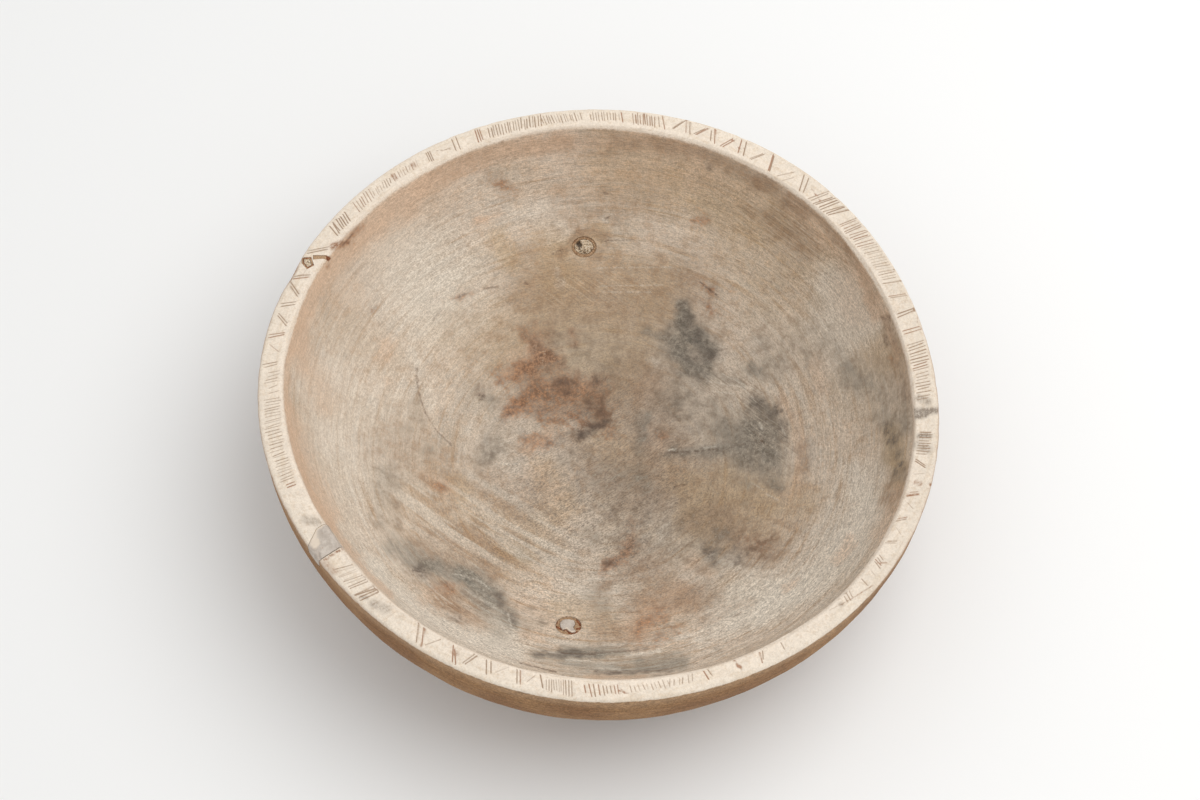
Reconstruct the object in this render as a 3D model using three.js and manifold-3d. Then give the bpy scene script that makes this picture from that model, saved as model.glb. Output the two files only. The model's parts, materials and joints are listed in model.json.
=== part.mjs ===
// A wide bowl carved from one root block, standing on its foot. Millimetres, +Z up.
// The origin lies on the underside of the foot, below the middle of the bowl.
// Directions are in degrees, counter-clockwise from +X when seen from above.
import * as THREE from "three";
import { mergeVertices } from "three/addons/utils/BufferGeometryUtils.js";
import Module from "manifold-3d";

const wasm = await Module();
wasm.setup();

// Overall sizes of the bowl
const HEIGHT = 118;
const RIM_RADIUS = 210;
const RIM_WIDTH = 15;
const FOOT_RADIUS = 92;
const FLOOR_THICKNESS = 16;

// How full the wall is: a higher number keeps it steep for longer before it turns in
const OUTER_FULLNESS = 2.5;
const INNER_FULLNESS = 3.2;
const INNER_CORNER = 2.3;
const INNER_LEAN = 0.38;

// The foot lies a little off the rim's middle, because the block was
const FOOT_SHIFT = 5;
const FOOT_SHIFT_DIRECTION = -105;

// Hand-carved irregularity of the outline and of the rim's width
const OUTLINE_WAVES = [
  { lobes: 2, size: 3.2, direction: -53 },
  { lobes: 3, size: 1.2, direction: -56 },
  { lobes: 4, size: 0.5, direction: -19 },
  { lobes: 5, size: 0.6, direction: -27 },
];
const WIDTH_WAVES = [
  { lobes: 1, size: 1.3, direction: 97 },
  { lobes: 2, size: 1.3, direction: 31 },
  { lobes: 5, size: 0.7, direction: -16 },
];

// Edges of the rim
const OUTER_EDGE_ROUND = 2.5;
const INNER_EDGE_ROUND = 1.5;

// Gap between a piece and the wood that holds it, and how far cutters reach past a surface
const CLEARANCE = 0.3;
const OVERSHOOT = 6;

// Dead knot on the far inner wall, with its bark
const WALL_KNOT = {
  direction: 93.8,
  aboveFloor: 34.4,
  halfWidth: 8.2,
  halfHeight: 6.8,
  depth: 9,
  narrowing: 0.25,
};
const WALL_BARK_THICKNESS = 1.6;

// Knot hole on the near inner wall: a bark lining and a hooked piece of putty
const FLOOR_KNOT = {
  direction: -98.4,
  aboveFloor: 21.9,
  halfWidth: 7.8,
  halfHeight: 8.4,
  depth: 7,
  narrowing: 0.1,
};
const FLOOR_PUTTY_DEPTH = 4;
const FLOOR_PUTTY_OUTLINE = [
  [-4.8, -1.2], [-5.2, 2.4], [-3.4, 5.4], [0.4, 6.0], [3.4, 4.8], [4.0, 1.8], [2.8, -0.6],
  [3.4, -2.8], [4.6, -4.8], [2.2, -5.8], [0.2, -4.2], [-1.2, -2.6], [-3.4, -3.4],
];

// Putty in the rim beside the open crack. It runs along the rim from the crack, further on the inner side
const CRACK_DIRECTION = -143.6;
const CRACK_WIDTH = 0.7;
const RIM_PUTTY_DEPTH = 8;
const RIM_PUTTY_INNER_LENGTH = 18;
const RIM_PUTTY_OUTER_LENGTH = 8;
const RIM_PUTTY_SHOULDER = 5;

// Small knot in the rim, with its bark: its middle lies a distance out from the inner edge
const RIM_KNOT_DIRECTION = 154.6;
const RIM_KNOT_ACROSS = 8.2;
const RIM_KNOT_OUTLINE = [[5.1, -1.4], [3.3, 2.2], [-1.9, 4.6], [-4.3, 0.6], [0.2, -3.9]];
const RIM_KNOT_DEPTH = 4.5;
const RIM_BARK_THICKNESS = 1.0;

// Bark seam that runs from the inner edge towards the knot's last corner
const SEAM_DIRECTION = 152.1;
const SEAM_DEPTH = 4;
const SEAM_OUTER_HALF_WIDTH = 1.4;
const SEAM_INNER_HALF_WIDTH = 0.8;
const SEAM_TO_KNOT = 1.6;

// Steps along the surfaces; outside they lie closer together near the foot
const STEPS_AROUND = 96;
const STEPS_OUTSIDE = 12;
const CROWDING_OUTSIDE = 1.3;
const STEPS_INSIDE = 15;
const STEPS_EDGE = 3;
const STEPS_OVAL = 20;

const CAVITY_DEPTH = HEIGHT - FLOOR_THICKNESS;
const INNER_RIM_RADIUS = RIM_RADIUS - RIM_WIDTH;

const radians = THREE.MathUtils.degToRad;

function waveSum(waves, azimuth) {
  let sum = 0;
  for (const { lobes, size, direction } of waves) {
    sum += size * Math.cos(lobes * (azimuth - radians(direction)));
  }
  return sum;
}

// Radius of the outside at a depth below the rim, on the plain round form
function outerRadius(depth) {
  const footShare = 1 - (FOOT_RADIUS / RIM_RADIUS) ** 2;
  const share = footShare * (depth / HEIGHT) ** OUTER_FULLNESS;
  return RIM_RADIUS * Math.sqrt(1 - share);
}

// Radius of the inside at a depth below the rim, on the plain round form
function innerRadius(depth) {
  const share = 1 - Math.min(1, depth / CAVITY_DEPTH) ** INNER_FULLNESS;
  return (INNER_RIM_RADIUS - INNER_LEAN * depth) * share ** (1 / INNER_CORNER);
}

// Sections drift towards the foot's middle with depth
function sectionShift(depth) {
  const share = (FOOT_SHIFT * depth) / HEIGHT;
  const direction = radians(FOOT_SHIFT_DIRECTION);
  return new THREE.Vector2(share * Math.cos(direction), share * Math.sin(direction));
}

// The waves are full at the rim and fade out towards the foot
function outsideScale(azimuth, depth) {
  const fade = 1 - depth / HEIGHT;
  return 1 + (waveSum(OUTLINE_WAVES, azimuth) * fade) / RIM_RADIUS;
}

function insideScale(azimuth, depth) {
  const fade = 1 - depth / HEIGHT;
  const wave = waveSum(OUTLINE_WAVES, azimuth) - waveSum(WIDTH_WAVES, azimuth);
  return 1 + (wave * fade) / INNER_RIM_RADIUS;
}

function insidePoint(azimuth, depth) {
  const radius = innerRadius(depth) * insideScale(azimuth, depth);
  const shift = sectionShift(depth);
  return new THREE.Vector3(
    radius * Math.cos(azimuth) + shift.x,
    radius * Math.sin(azimuth) + shift.y,
    HEIGHT - depth,
  );
}

// Closed mesh to solid: only positions are kept, and triangles that shrank to a line at the axis go
function toSolid(geometry) {
  const bare = geometry.clone();
  bare.deleteAttribute("normal");
  bare.deleteAttribute("uv");
  const merged = mergeVertices(bare);
  const corners = merged.getIndex().array;
  const triangles = [];
  for (let i = 0; i < corners.length; i += 3) {
    const [a, b, c] = corners.slice(i, i + 3);
    if (a !== b && b !== c && c !== a) {
      triangles.push(a, b, c);
    }
  }
  return new wasm.Manifold(new wasm.Mesh({
    numProp: 3,
    vertProperties: merged.getAttribute("position").array,
    triVerts: new Uint32Array(triangles),
  }));
}

function toGeometry(solid) {
  const { vertProperties, triVerts } = solid.getMesh();
  const geometry = new THREE.BufferGeometry();
  geometry.setAttribute("position", new THREE.BufferAttribute(vertProperties, 3));
  geometry.setIndex(new THREE.BufferAttribute(triVerts, 1));
  geometry.computeVertexNormals();
  return geometry;
}

// A turned form whose sections are then scaled round the axis and drift towards the foot
function carvedForm(profile, scaleAt) {
  const geometry = new THREE.LatheGeometry(profile, STEPS_AROUND);
  geometry.rotateX(Math.PI / 2);
  const position = geometry.getAttribute("position");
  const point = new THREE.Vector3();
  for (let i = 0; i < position.count; i += 1) {
    point.fromBufferAttribute(position, i);
    const depth = Math.max(0, HEIGHT - point.z);
    const scale = scaleAt(Math.atan2(point.y, point.x), depth);
    const shift = sectionShift(depth);
    position.setXY(i, point.x * scale + shift.x, point.y * scale + shift.y);
  }
  return toSolid(geometry);
}

function outsideForm() {
  const profile = [new THREE.Vector2(0, 0)];
  for (let i = 0; i <= STEPS_OUTSIDE; i += 1) {
    const share = (i / STEPS_OUTSIDE) ** CROWDING_OUTSIDE;
    const height = share * (HEIGHT - OUTER_EDGE_ROUND);
    profile.push(new THREE.Vector2(outerRadius(HEIGHT - height), height));
  }
  for (let i = 1; i <= STEPS_EDGE; i += 1) {
    const turn = ((i / STEPS_EDGE) * Math.PI) / 2;
    const radius = RIM_RADIUS - OUTER_EDGE_ROUND * (1 - Math.cos(turn));
    const height = HEIGHT - OUTER_EDGE_ROUND * (1 - Math.sin(turn));
    profile.push(new THREE.Vector2(radius, height));
  }
  profile.push(new THREE.Vector2(0, HEIGHT));
  return carvedForm(profile, outsideScale);
}

function cavityForm() {
  const profile = [];
  for (let i = 0; i <= STEPS_INSIDE; i += 1) {
    const turn = ((i / STEPS_INSIDE) * Math.PI) / 2;
    const depth = CAVITY_DEPTH - (CAVITY_DEPTH - INNER_EDGE_ROUND) * (1 - Math.cos(turn));
    profile.push(new THREE.Vector2(innerRadius(depth), HEIGHT - depth));
  }
  const rim = innerRadius(0);
  for (let i = 1; i <= STEPS_EDGE; i += 1) {
    const turn = ((i / STEPS_EDGE) * Math.PI) / 2;
    const radius = rim + INNER_EDGE_ROUND * (1 - Math.cos(turn));
    const height = HEIGHT - INNER_EDGE_ROUND * (1 - Math.sin(turn));
    profile.push(new THREE.Vector2(radius, height));
  }
  profile.push(new THREE.Vector2(rim + INNER_EDGE_ROUND, HEIGHT + OVERSHOOT));
  profile.push(new THREE.Vector2(0, HEIGHT + OVERSHOOT));
  return carvedForm(profile, insideScale);
}

// Local frame on the inside: the third axis leaves the wood, the first one runs along +X
function insideFrame({ direction, aboveFloor }) {
  const azimuth = radians(direction);
  const depth = CAVITY_DEPTH - aboveFloor;
  const nudge = 0.01;
  const origin = insidePoint(azimuth, depth);
  const around = insidePoint(azimuth + nudge, depth).sub(origin);
  const upwards = insidePoint(azimuth, depth - nudge).sub(origin);
  const normal = upwards.cross(around).normalize();
  const right = new THREE.Vector3(1, 0, 0).projectOnPlane(normal).normalize();
  const up = normal.clone().cross(right);
  return new THREE.Matrix4().makeBasis(right, up, normal).setPosition(origin);
}

// Local frame on the rim: outwards from the inner edge, then along the rim, then up
function rimFrame(direction) {
  const azimuth = radians(direction);
  const outward = new THREE.Vector3(Math.cos(azimuth), Math.sin(azimuth), 0);
  const along = new THREE.Vector3(-Math.sin(azimuth), Math.cos(azimuth), 0);
  const up = new THREE.Vector3(0, 0, 1);
  const origin = insidePoint(azimuth, 0);
  return new THREE.Matrix4().makeBasis(outward, along, up).setPosition(origin);
}

function ovalOutline(halfWidth, halfHeight) {
  const curve = new THREE.EllipseCurve(0, 0, halfWidth, halfHeight, 0, 2 * Math.PI);
  return curve.getPoints(STEPS_OVAL).slice(0, -1);
}

function outlineFrom(pairs) {
  return pairs.map(([x, y]) => new THREE.Vector2(x, y));
}

// Moves each corner of a closed outline out (or in) so that every side moves by the distance
function outset(outline, distance) {
  const sense = THREE.ShapeUtils.isClockWise(outline) ? -1 : 1;
  return outline.map((corner, i) => {
    const before = outline.at(i - 1);
    const after = outline[(i + 1) % outline.length];
    const sideIn = corner.clone().sub(before).normalize();
    const sideOut = after.clone().sub(corner).normalize();
    const bisector = sideIn.add(sideOut).normalize();
    const outward = new THREE.Vector2(bisector.y, -bisector.x).multiplyScalar(sense);
    const reach = distance / Math.abs(outward.cross(sideOut));
    return corner.clone().addScaledVector(outward, reach);
  });
}

// A plug whose outline lies at the surface, sunk to a depth and narrowed towards its end
function plug(outline, depth, narrowing, frame) {
  const shape = new THREE.Shape(outline);
  const geometry = new THREE.ExtrudeGeometry(shape, {
    depth: depth + OVERSHOOT,
    bevelEnabled: false,
    steps: 1,
  });
  geometry.translate(0, 0, -depth);
  const position = geometry.getAttribute("position");
  for (let i = 0; i < position.count; i += 1) {
    const scale = 1 + (narrowing * position.getZ(i)) / depth;
    position.setXY(i, position.getX(i) * scale, position.getY(i) * scale);
  }
  geometry.applyMatrix4(frame);
  return toSolid(geometry);
}

// A plug and the pocket that holds it with the clearance all round
function fitted(outline, depth, narrowing, frame) {
  return {
    piece: plug(outline, depth, narrowing, frame),
    pocket: plug(outset(outline, CLEARANCE), depth + CLEARANCE, narrowing, frame),
  };
}

function wallKnot() {
  const { halfWidth, halfHeight, depth, narrowing } = WALL_KNOT;
  const frame = insideFrame(WALL_KNOT);
  const bark = fitted(ovalOutline(halfWidth, halfHeight), depth, narrowing, frame);
  const ring = WALL_BARK_THICKNESS + CLEARANCE;
  const coreOutline = ovalOutline(halfWidth - ring, halfHeight - ring);
  const core = fitted(coreOutline, depth - ring, narrowing, frame);
  return { pocket: bark.pocket, bark: bark.piece.subtract(core.pocket), core: core.piece };
}

function floorKnot() {
  const { halfWidth, halfHeight, depth, narrowing } = FLOOR_KNOT;
  const frame = insideFrame(FLOOR_KNOT);
  const bark = fitted(ovalOutline(halfWidth, halfHeight), depth, narrowing, frame);
  const putty = fitted(outlineFrom(FLOOR_PUTTY_OUTLINE), FLOOR_PUTTY_DEPTH, 0, frame);
  return { pocket: bark.pocket, bark: bark.piece.subtract(putty.pocket), putty: putty.piece };
}

// The putty runs right across the rim; the crack stays open between it and the wood
function rimPutty() {
  const inner = -OVERSHOOT;
  const outer = RIM_WIDTH + OVERSHOOT;
  const outline = (crackSide) => outlineFrom([
    [inner, crackSide],
    [inner, -RIM_PUTTY_INNER_LENGTH],
    [RIM_PUTTY_SHOULDER, -RIM_PUTTY_INNER_LENGTH],
    [outer, -RIM_PUTTY_OUTER_LENGTH],
    [outer, crackSide],
  ]);
  const pocketOutline = outset(outline(CRACK_WIDTH - CLEARANCE), CLEARANCE);
  const frame = rimFrame(CRACK_DIRECTION);
  return {
    putty: plug(outline(0), RIM_PUTTY_DEPTH, 0, frame),
    pocket: plug(pocketOutline, RIM_PUTTY_DEPTH + CLEARANCE, 0, frame),
  };
}

function rimKnot() {
  const across = new THREE.Matrix4().makeTranslation(RIM_KNOT_ACROSS, 0, 0);
  const frame = rimFrame(RIM_KNOT_DIRECTION).multiply(across);
  const outline = outlineFrom(RIM_KNOT_OUTLINE);
  const ring = RIM_BARK_THICKNESS + CLEARANCE;
  const bark = fitted(outline, RIM_KNOT_DEPTH, 0, frame);
  const core = fitted(outset(outline, -ring), RIM_KNOT_DEPTH - ring, 0, frame);
  const corner = outline.at(-1);
  return {
    pocket: bark.pocket,
    bark: bark.piece.subtract(core.pocket),
    core: core.piece,
    corner: new THREE.Vector3(corner.x, corner.y, 0).applyMatrix4(frame),
  };
}

// The seam starts inside the inner edge and stops short of the knot's corner
function rimSeam(knotCorner) {
  const frame = rimFrame(SEAM_DIRECTION);
  const corner = knotCorner.clone().applyMatrix4(frame.clone().invert());
  const along = new THREE.Vector2(corner.x, corner.y);
  const length = along.length() - SEAM_TO_KNOT;
  along.normalize();
  const aside = new THREE.Vector2(-along.y, along.x);
  const innerEnd = along.clone().multiplyScalar(-OVERSHOOT);
  const outerEnd = along.clone().multiplyScalar(length);
  const outline = [
    innerEnd.clone().addScaledVector(aside, -SEAM_INNER_HALF_WIDTH),
    outerEnd.clone().addScaledVector(aside, -SEAM_OUTER_HALF_WIDTH),
    outerEnd.clone().addScaledVector(aside, SEAM_OUTER_HALF_WIDTH),
    innerEnd.clone().addScaledVector(aside, SEAM_INNER_HALF_WIDTH),
  ];
  return fitted(outline, SEAM_DEPTH, 0, frame);
}

function material(color, roughness) {
  return new THREE.MeshStandardMaterial({ color, roughness, metalness: 0 });
}

const bleachedWood = material(0xc6b19a, 0.78);
const knotWood = material(0xb59a7a, 0.85);
const bark = material(0x6b4a33, 0.9);
const putty = material(0xc4b9ac, 0.7);

function part(name, solid, finish) {
  const mesh = new THREE.Mesh(toGeometry(solid), finish);
  mesh.name = name;
  return mesh;
}

const blank = outsideForm().subtract(cavityForm());
const wall = wallKnot();
const floor = floorKnot();
const crack = rimPutty();
const knot = rimKnot();
const seam = rimSeam(knot.corner);

let body = blank;
for (const { pocket } of [wall, floor, crack, knot, seam]) {
  body = body.subtract(pocket);
}

const bowl = new THREE.Group();
bowl.add(part("bowl_body", body, bleachedWood));
bowl.add(part("wall_knot_core", wall.core.intersect(blank), knotWood));
bowl.add(part("wall_knot_bark", wall.bark.intersect(blank), bark));
bowl.add(part("floor_knot_putty", floor.putty.intersect(blank), putty));
bowl.add(part("floor_knot_bark", floor.bark.intersect(blank), bark));
bowl.add(part("rim_crack_putty", crack.putty.intersect(blank), putty));
bowl.add(part("rim_bark_seam", seam.piece.intersect(blank), bark));
bowl.add(part("rim_knot_core", knot.core.intersect(blank), knotWood));
bowl.add(part("rim_knot_bark", knot.bark.intersect(blank), bark));

// The outline isn't quite even, so the bowl is moved until its box is centred on the origin
const middle = new THREE.Box3().setFromObject(bowl).getCenter(new THREE.Vector3());
bowl.position.set(-middle.x, -middle.y, 0);

export default bowl;
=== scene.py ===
# The carved root bowl: its looks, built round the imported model. Metres, +Z up.
# The form's own sizes are millimetres, with the middle of the rim's round form on the Z axis.
# Directions are degrees counter-clockwise from +X, seen from above. Picture places are pixels of a
# 1200 by 800 picture taken by the camera at the end of this script.
import json
import math

import bmesh
import bpy
import numpy as np
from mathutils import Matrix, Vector

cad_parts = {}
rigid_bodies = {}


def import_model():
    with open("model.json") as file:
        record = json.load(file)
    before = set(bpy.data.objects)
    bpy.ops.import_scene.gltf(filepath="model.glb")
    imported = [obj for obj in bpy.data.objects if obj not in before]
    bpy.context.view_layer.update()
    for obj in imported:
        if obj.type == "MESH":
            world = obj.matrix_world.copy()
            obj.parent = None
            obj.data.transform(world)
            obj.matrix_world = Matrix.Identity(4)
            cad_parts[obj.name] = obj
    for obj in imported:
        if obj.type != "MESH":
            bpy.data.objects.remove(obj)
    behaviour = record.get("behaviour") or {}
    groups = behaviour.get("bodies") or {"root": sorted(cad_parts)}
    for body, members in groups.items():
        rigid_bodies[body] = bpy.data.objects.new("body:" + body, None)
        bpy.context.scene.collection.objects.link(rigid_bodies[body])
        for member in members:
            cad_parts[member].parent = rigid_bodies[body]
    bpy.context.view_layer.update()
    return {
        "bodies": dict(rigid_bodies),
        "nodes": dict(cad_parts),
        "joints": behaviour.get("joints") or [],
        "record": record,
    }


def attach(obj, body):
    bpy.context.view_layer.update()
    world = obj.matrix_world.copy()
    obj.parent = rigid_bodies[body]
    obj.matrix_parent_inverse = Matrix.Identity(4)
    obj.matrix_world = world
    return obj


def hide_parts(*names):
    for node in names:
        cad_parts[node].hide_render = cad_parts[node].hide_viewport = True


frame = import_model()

MM = 0.001

# Sizes of the bowl, as the part's source has them
HEIGHT = 118.0
RIM_RADIUS = 210.0
RIM_WIDTH = 15.0
FOOT_RADIUS = 92.0
FLOOR_THICKNESS = 16.0
OUTER_FULLNESS = 2.5
INNER_FULLNESS = 3.2
INNER_CORNER = 2.3
INNER_LEAN = 0.38
FOOT_SHIFT = 5.0
FOOT_SHIFT_DIRECTION = -105.0
OUTLINE_WAVES = [(2, 3.2, -53), (3, 1.2, -56), (4, 0.5, -19), (5, 0.6, -27)]
WIDTH_WAVES = [(1, 1.3, 97), (2, 1.3, 31), (5, 0.7, -16)]
OUTER_EDGE_ROUND = 2.5
INNER_EDGE_ROUND = 1.5
CLEARANCE = 0.3
OVERSHOOT = 6.0
CAVITY_DEPTH = HEIGHT - FLOOR_THICKNESS
INNER_RIM_RADIUS = RIM_RADIUS - RIM_WIDTH
FOOT_EDGE_ROUND = 1.2
OUTLINE_COLUMNS = 97
OUTLINE_ROWS = 60

# The camera of the picture: it looks along +Y and down at the rim's plane
LENS = 66.0
SENSOR_WIDTH = 36.0
PICTURE_WIDTH = 1200
PICTURE_HEIGHT = 800
FOCAL = LENS / SENSOR_WIDTH * PICTURE_WIDTH
CAMERA_ELEVATION = math.radians(60)
CAMERA_DISTANCE = 1348.0
CAMERA_TARGET = np.array([0.2, -13.3, HEIGHT])
camera_back = np.array([0.0, -math.cos(CAMERA_ELEVATION), math.sin(CAMERA_ELEVATION)])
camera_up = np.array([0.0, math.sin(CAMERA_ELEVATION), math.cos(CAMERA_ELEVATION)])
camera_place = CAMERA_TARGET + CAMERA_DISTANCE * camera_back

# Steps of the carved surface, in millimetres
STEP_INSIDE = 2.4
STEP_OUTSIDE = 3.4
STEP_RIM = 1.5
STEP_EDGE = 1.6
RIM_ROWS = 12
EDGE_ROWS = 4
FOOT_RINGS = 8
FEWEST_IN_RING = 8
OUTSIDE_SAMPLES = 1500
INSIDE_SAMPLES = 3000


# The form

def wave_sum(waves, azimuth):
    return sum(size * np.cos(lobes * (azimuth - math.radians(direction)))
               for lobes, size, direction in waves)


def outer_radius(depth):
    foot_share = 1 - (FOOT_RADIUS / RIM_RADIUS) ** 2
    return RIM_RADIUS * np.sqrt(1 - foot_share * (depth / HEIGHT) ** OUTER_FULLNESS)


def inner_radius(depth):
    share = 1 - np.minimum(1, depth / CAVITY_DEPTH) ** INNER_FULLNESS
    return (INNER_RIM_RADIUS - INNER_LEAN * depth) * share ** (1 / INNER_CORNER)


def outside_scale(azimuth, depth):
    return 1 + wave_sum(OUTLINE_WAVES, azimuth) * (1 - depth / HEIGHT) / RIM_RADIUS


def inside_scale(azimuth, depth):
    wave = wave_sum(OUTLINE_WAVES, azimuth) - wave_sum(WIDTH_WAVES, azimuth)
    return 1 + wave * (1 - depth / HEIGHT) / INNER_RIM_RADIUS


def foot_drift(depth):
    """How far the form has drifted at a depth towards its foot, along X and along Y."""
    drift = FOOT_SHIFT * depth / HEIGHT
    direction = math.radians(FOOT_SHIFT_DIRECTION)
    return drift * math.cos(direction), drift * math.sin(direction)


def surface_points(radius, depth, azimuth, scale):
    """Points of the form at a plain radius, with the hand-carved waves and the drift of the foot."""
    drift_x, drift_y = foot_drift(depth)
    reach = radius * scale(azimuth, depth)
    x = reach * np.cos(azimuth) + drift_x
    y = reach * np.sin(azimuth) + drift_y
    return np.stack([x, y, np.broadcast_to(HEIGHT - depth, x.shape)], axis=-1)


def form_offset():
    """The move that centres the outline on the origin, as the part's source does."""
    around = np.linspace(0, 2 * math.pi, OUTLINE_COLUMNS)
    azimuth, depth = np.meshgrid(around, np.linspace(OUTER_EDGE_ROUND, HEIGHT, OUTLINE_ROWS))
    points = surface_points(outer_radius(depth), depth, azimuth, outside_scale).reshape(-1, 3)
    middle = (points.min(axis=0) + points.max(axis=0)) / 2
    return np.array([-middle[0], -middle[1], 0.0])


offset = form_offset()


def to_scene(points):
    return (np.asarray(points) + offset) * MM


# Between the picture and the form

def picture_places(points):
    """Pixels at which points of the form appear."""
    away = points - camera_place
    ahead = -(away @ camera_back)
    x = PICTURE_WIDTH / 2 + FOCAL * away[:, 0] / ahead
    y = PICTURE_HEIGHT / 2 - FOCAL * (away @ camera_up) / ahead
    return np.stack([x, y], axis=1)


def on_rim_plane(x, y):
    """Where the ray through a pixel meets the rim's plane."""
    ray = (x - PICTURE_WIDTH / 2) * np.array([1.0, 0.0, 0.0]) - (y - PICTURE_HEIGHT / 2) * camera_up
    ray = ray - FOCAL * camera_back
    reach = (HEIGHT - camera_place[2]) / ray[2]
    return (camera_place + reach * ray)[:2]


# Readings along the rim are an angle round the rim's ellipse in the picture and a share of its size
RIM_ELLIPSE_MIDDLE = (599.5, 405.0)
RIM_ELLIPSE_SIZE = (341.5, 297.0)


def rim_place(angle, share):
    turn = math.radians(angle)
    x = RIM_ELLIPSE_MIDDLE[0] + share * RIM_ELLIPSE_SIZE[0] * math.cos(turn)
    y = RIM_ELLIPSE_MIDDLE[1] - share * RIM_ELLIPSE_SIZE[1] * math.sin(turn)
    return on_rim_plane(x, y)


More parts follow.
